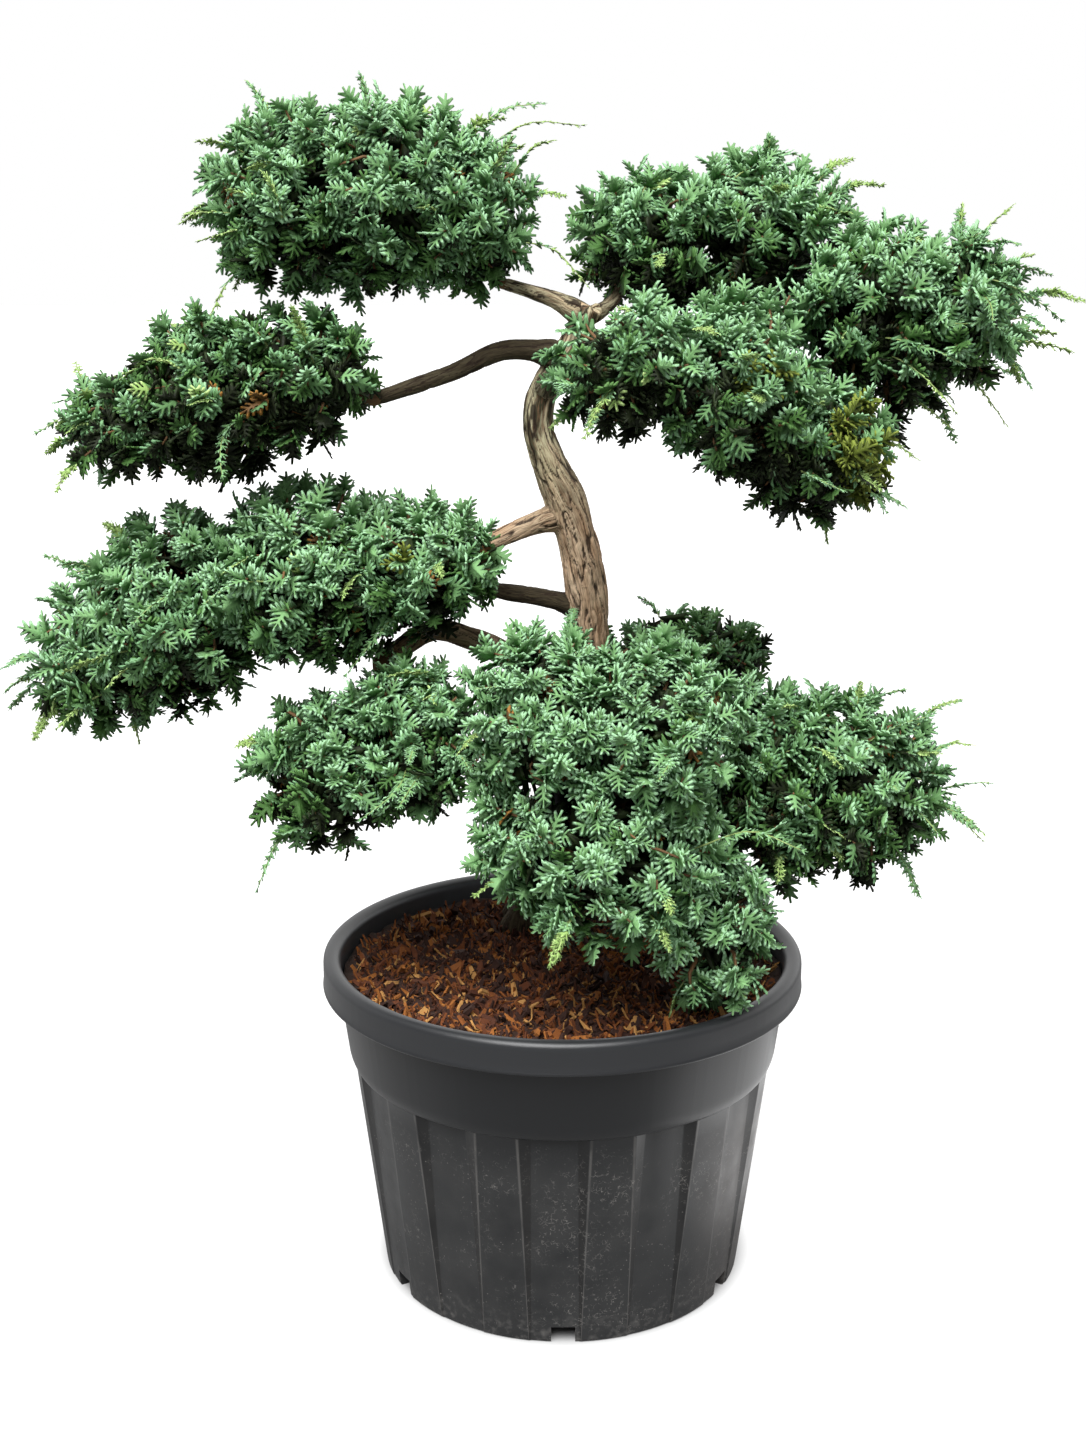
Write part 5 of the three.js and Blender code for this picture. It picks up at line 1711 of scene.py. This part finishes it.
def root_points(name, laid):
    """A mesh of bare points that carries what each spray needs to know."""
    mesh = bpy.data.meshes.new(name)
    mesh.vertices.add(len(laid["root"]))
    mesh.vertices.foreach_set("co", (laid["root"] * MM).astype(np.float32).ravel())
    for key in ("along", "facing", "size", "shape", "tint"):
        store(mesh, key, laid[key])
    return mesh


foliage_tree = spray_tree(spray_set, leaf_tones)
total = 0
for name in FOLIAGE:
    bare = root_points(name, sprays[name])
    cloud = grow(f"sprays_{name}", bare, foliage_tree, spray_length=SPRAY_LENGTH * MM)
    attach(cloud, "root")
    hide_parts(f"foliage_{name}")
    total += triangle_count(cloud.data)
    print(f"sprays_{name}:", triangle_count(cloud.data), "triangles")
drop_set(spray_set)
print("leaf triangles in all:", total)

# %% [markdown]
# ## Twigs
# Where a cloud is open from below, its brown inner twigs show. One stem carries on from each bough's tip
# through the lobes, as in the solids, and every tuft has its own twig from the inside of its lobe. They are
# slim tubes of a few sides, made in one go for all twigs of a kind, because single curves would be slow.

# %% Twig tubes
TWIG_STEPS = 5
TWIG_RADII = (3.2, 1.3)
TWIG_SIDES = 4
TWIG_BOW = 9
SHOOT_RADII = (1.2, 0.6)
SHOOT_SIDES = 3
STEM_STEP = 12
STEM_SIDES = 7
STEM_TAPER = 0.45
STEM_OVERLAP = (6, 8)  # how far inside the bough's tip a stem starts, and how far on it runs straight


def tubes(paths, radii, sides):
    """Tapering tubes along many short paths at once: points and faces."""
    count, steps = paths.shape[:2]
    ring = circles(*crossways(unit(paths[:, -1] - paths[:, 0])), sides)
    taper = np.linspace(*radii, steps)
    points = paths[:, :, None] + ring[:, None] * taper[None, :, None, None]
    heels = np.arange(count)[:, None] * steps * sides + np.arange(sides)
    tips = heels + (steps - 1) * sides
    ends = [tips[:, [0, k, k + 1]] for k in range(1, sides - 1)]
    ends += [heels[:, [0, k + 1, k]] for k in range(1, sides - 1)]
    return points.reshape(-1, 3), np.vstack([side_faces(count, steps, sides), *ends])


def twig_paths(name, random):
    roots, tips, _ = tufts[name]
    t = np.linspace(0, 1, TWIG_STEPS)[None, :, None]
    bow = random.normal(0, TWIG_BOW, (len(tips), 1, 3)) * np.sin(math.pi * t)
    return roots[:, None] * (1 - t) + tips[:, None] * t + bow


STEM_MEETS = {name: name for name in FOLIAGE} | {"lower_left": "lower_left_upper"}


def stem_loft(name):
    bough = STEM_MEETS[name]
    start = bough_paths[bough][-1]
    onward = unit(start - bough_paths[bough][-4])
    inside, straight = STEM_OVERLAP
    centres = FOLIAGE[name][:, :3]
    centres = centres[np.argsort(np.linalg.norm(centres - start, axis=1))]
    path = smooth_path([start - inside * onward, start + straight * onward, *centres], STEM_STEP)
    tip = BOUGHS[bough][2][1]
    return loft(path, np.repeat(np.linspace(tip, STEM_TAPER * tip, len(path))[:, None], STEM_SIDES, axis=1))


old_twigs = [tubes(twig_paths(name, cloud_random[name]), TWIG_RADII, TWIG_SIDES) for name in FOLIAGE]
old_twigs += [stem_loft(name) for name in FOLIAGE]
points, faces = join(old_twigs)
twigs = show("twigs", mesh_from_arrays("twigs", points * MM, faces))
points, faces = join([tubes(shoots[name], SHOOT_RADII, SHOOT_SIDES) for name in FOLIAGE])
shoot_stems = show("shoot_stems", mesh_from_arrays("shoot_stems", points * MM, faces))
print("twig triangles:", triangle_count(twigs.data), "shoot stems:", triangle_count(shoot_stems.data))

# %% [markdown]
# ### Twigs and green stems
# Thin juniper twigs are smooth, orange-brown when young and grey-brown when old. The soft stems of the
# long shoots are still green. On each kind one noise mixes two tones.

# %% Twig finish
# Each finish: its roughness, the size of its patches in millimetres, their detail, and the two tones.
TWIG_FINISHES = {
    "juniper_twig": (0.8, 30, 3.0, "#3f2d1e", "#7a5730"),
    "green_juniper_stem": (0.6, 12, 2.0, "#7d8c4a", "#9db272"),
}
for piece, (name, finish) in zip((twigs, shoot_stems), TWIG_FINISHES.items()):
    roughness, size, detail, *tones = finish
    material, tree = start_material(name)
    place = add_node(tree, "ShaderNodeTexCoord").outputs["Object"]
    ages = add_node(tree, "ShaderNodeTexNoise", {"Vector": place, "Scale": 1 / (size * MM), "Detail": detail})
    dark, pale = (linear(tone) for tone in tones)
    end_material(tree, {"Base Color": coated(tree, dark, (ages.outputs["Fac"], pale)),
                        "Roughness": roughness})
    piece.data.materials.append(material)
    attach(piece, "root")
print("twigs finished")
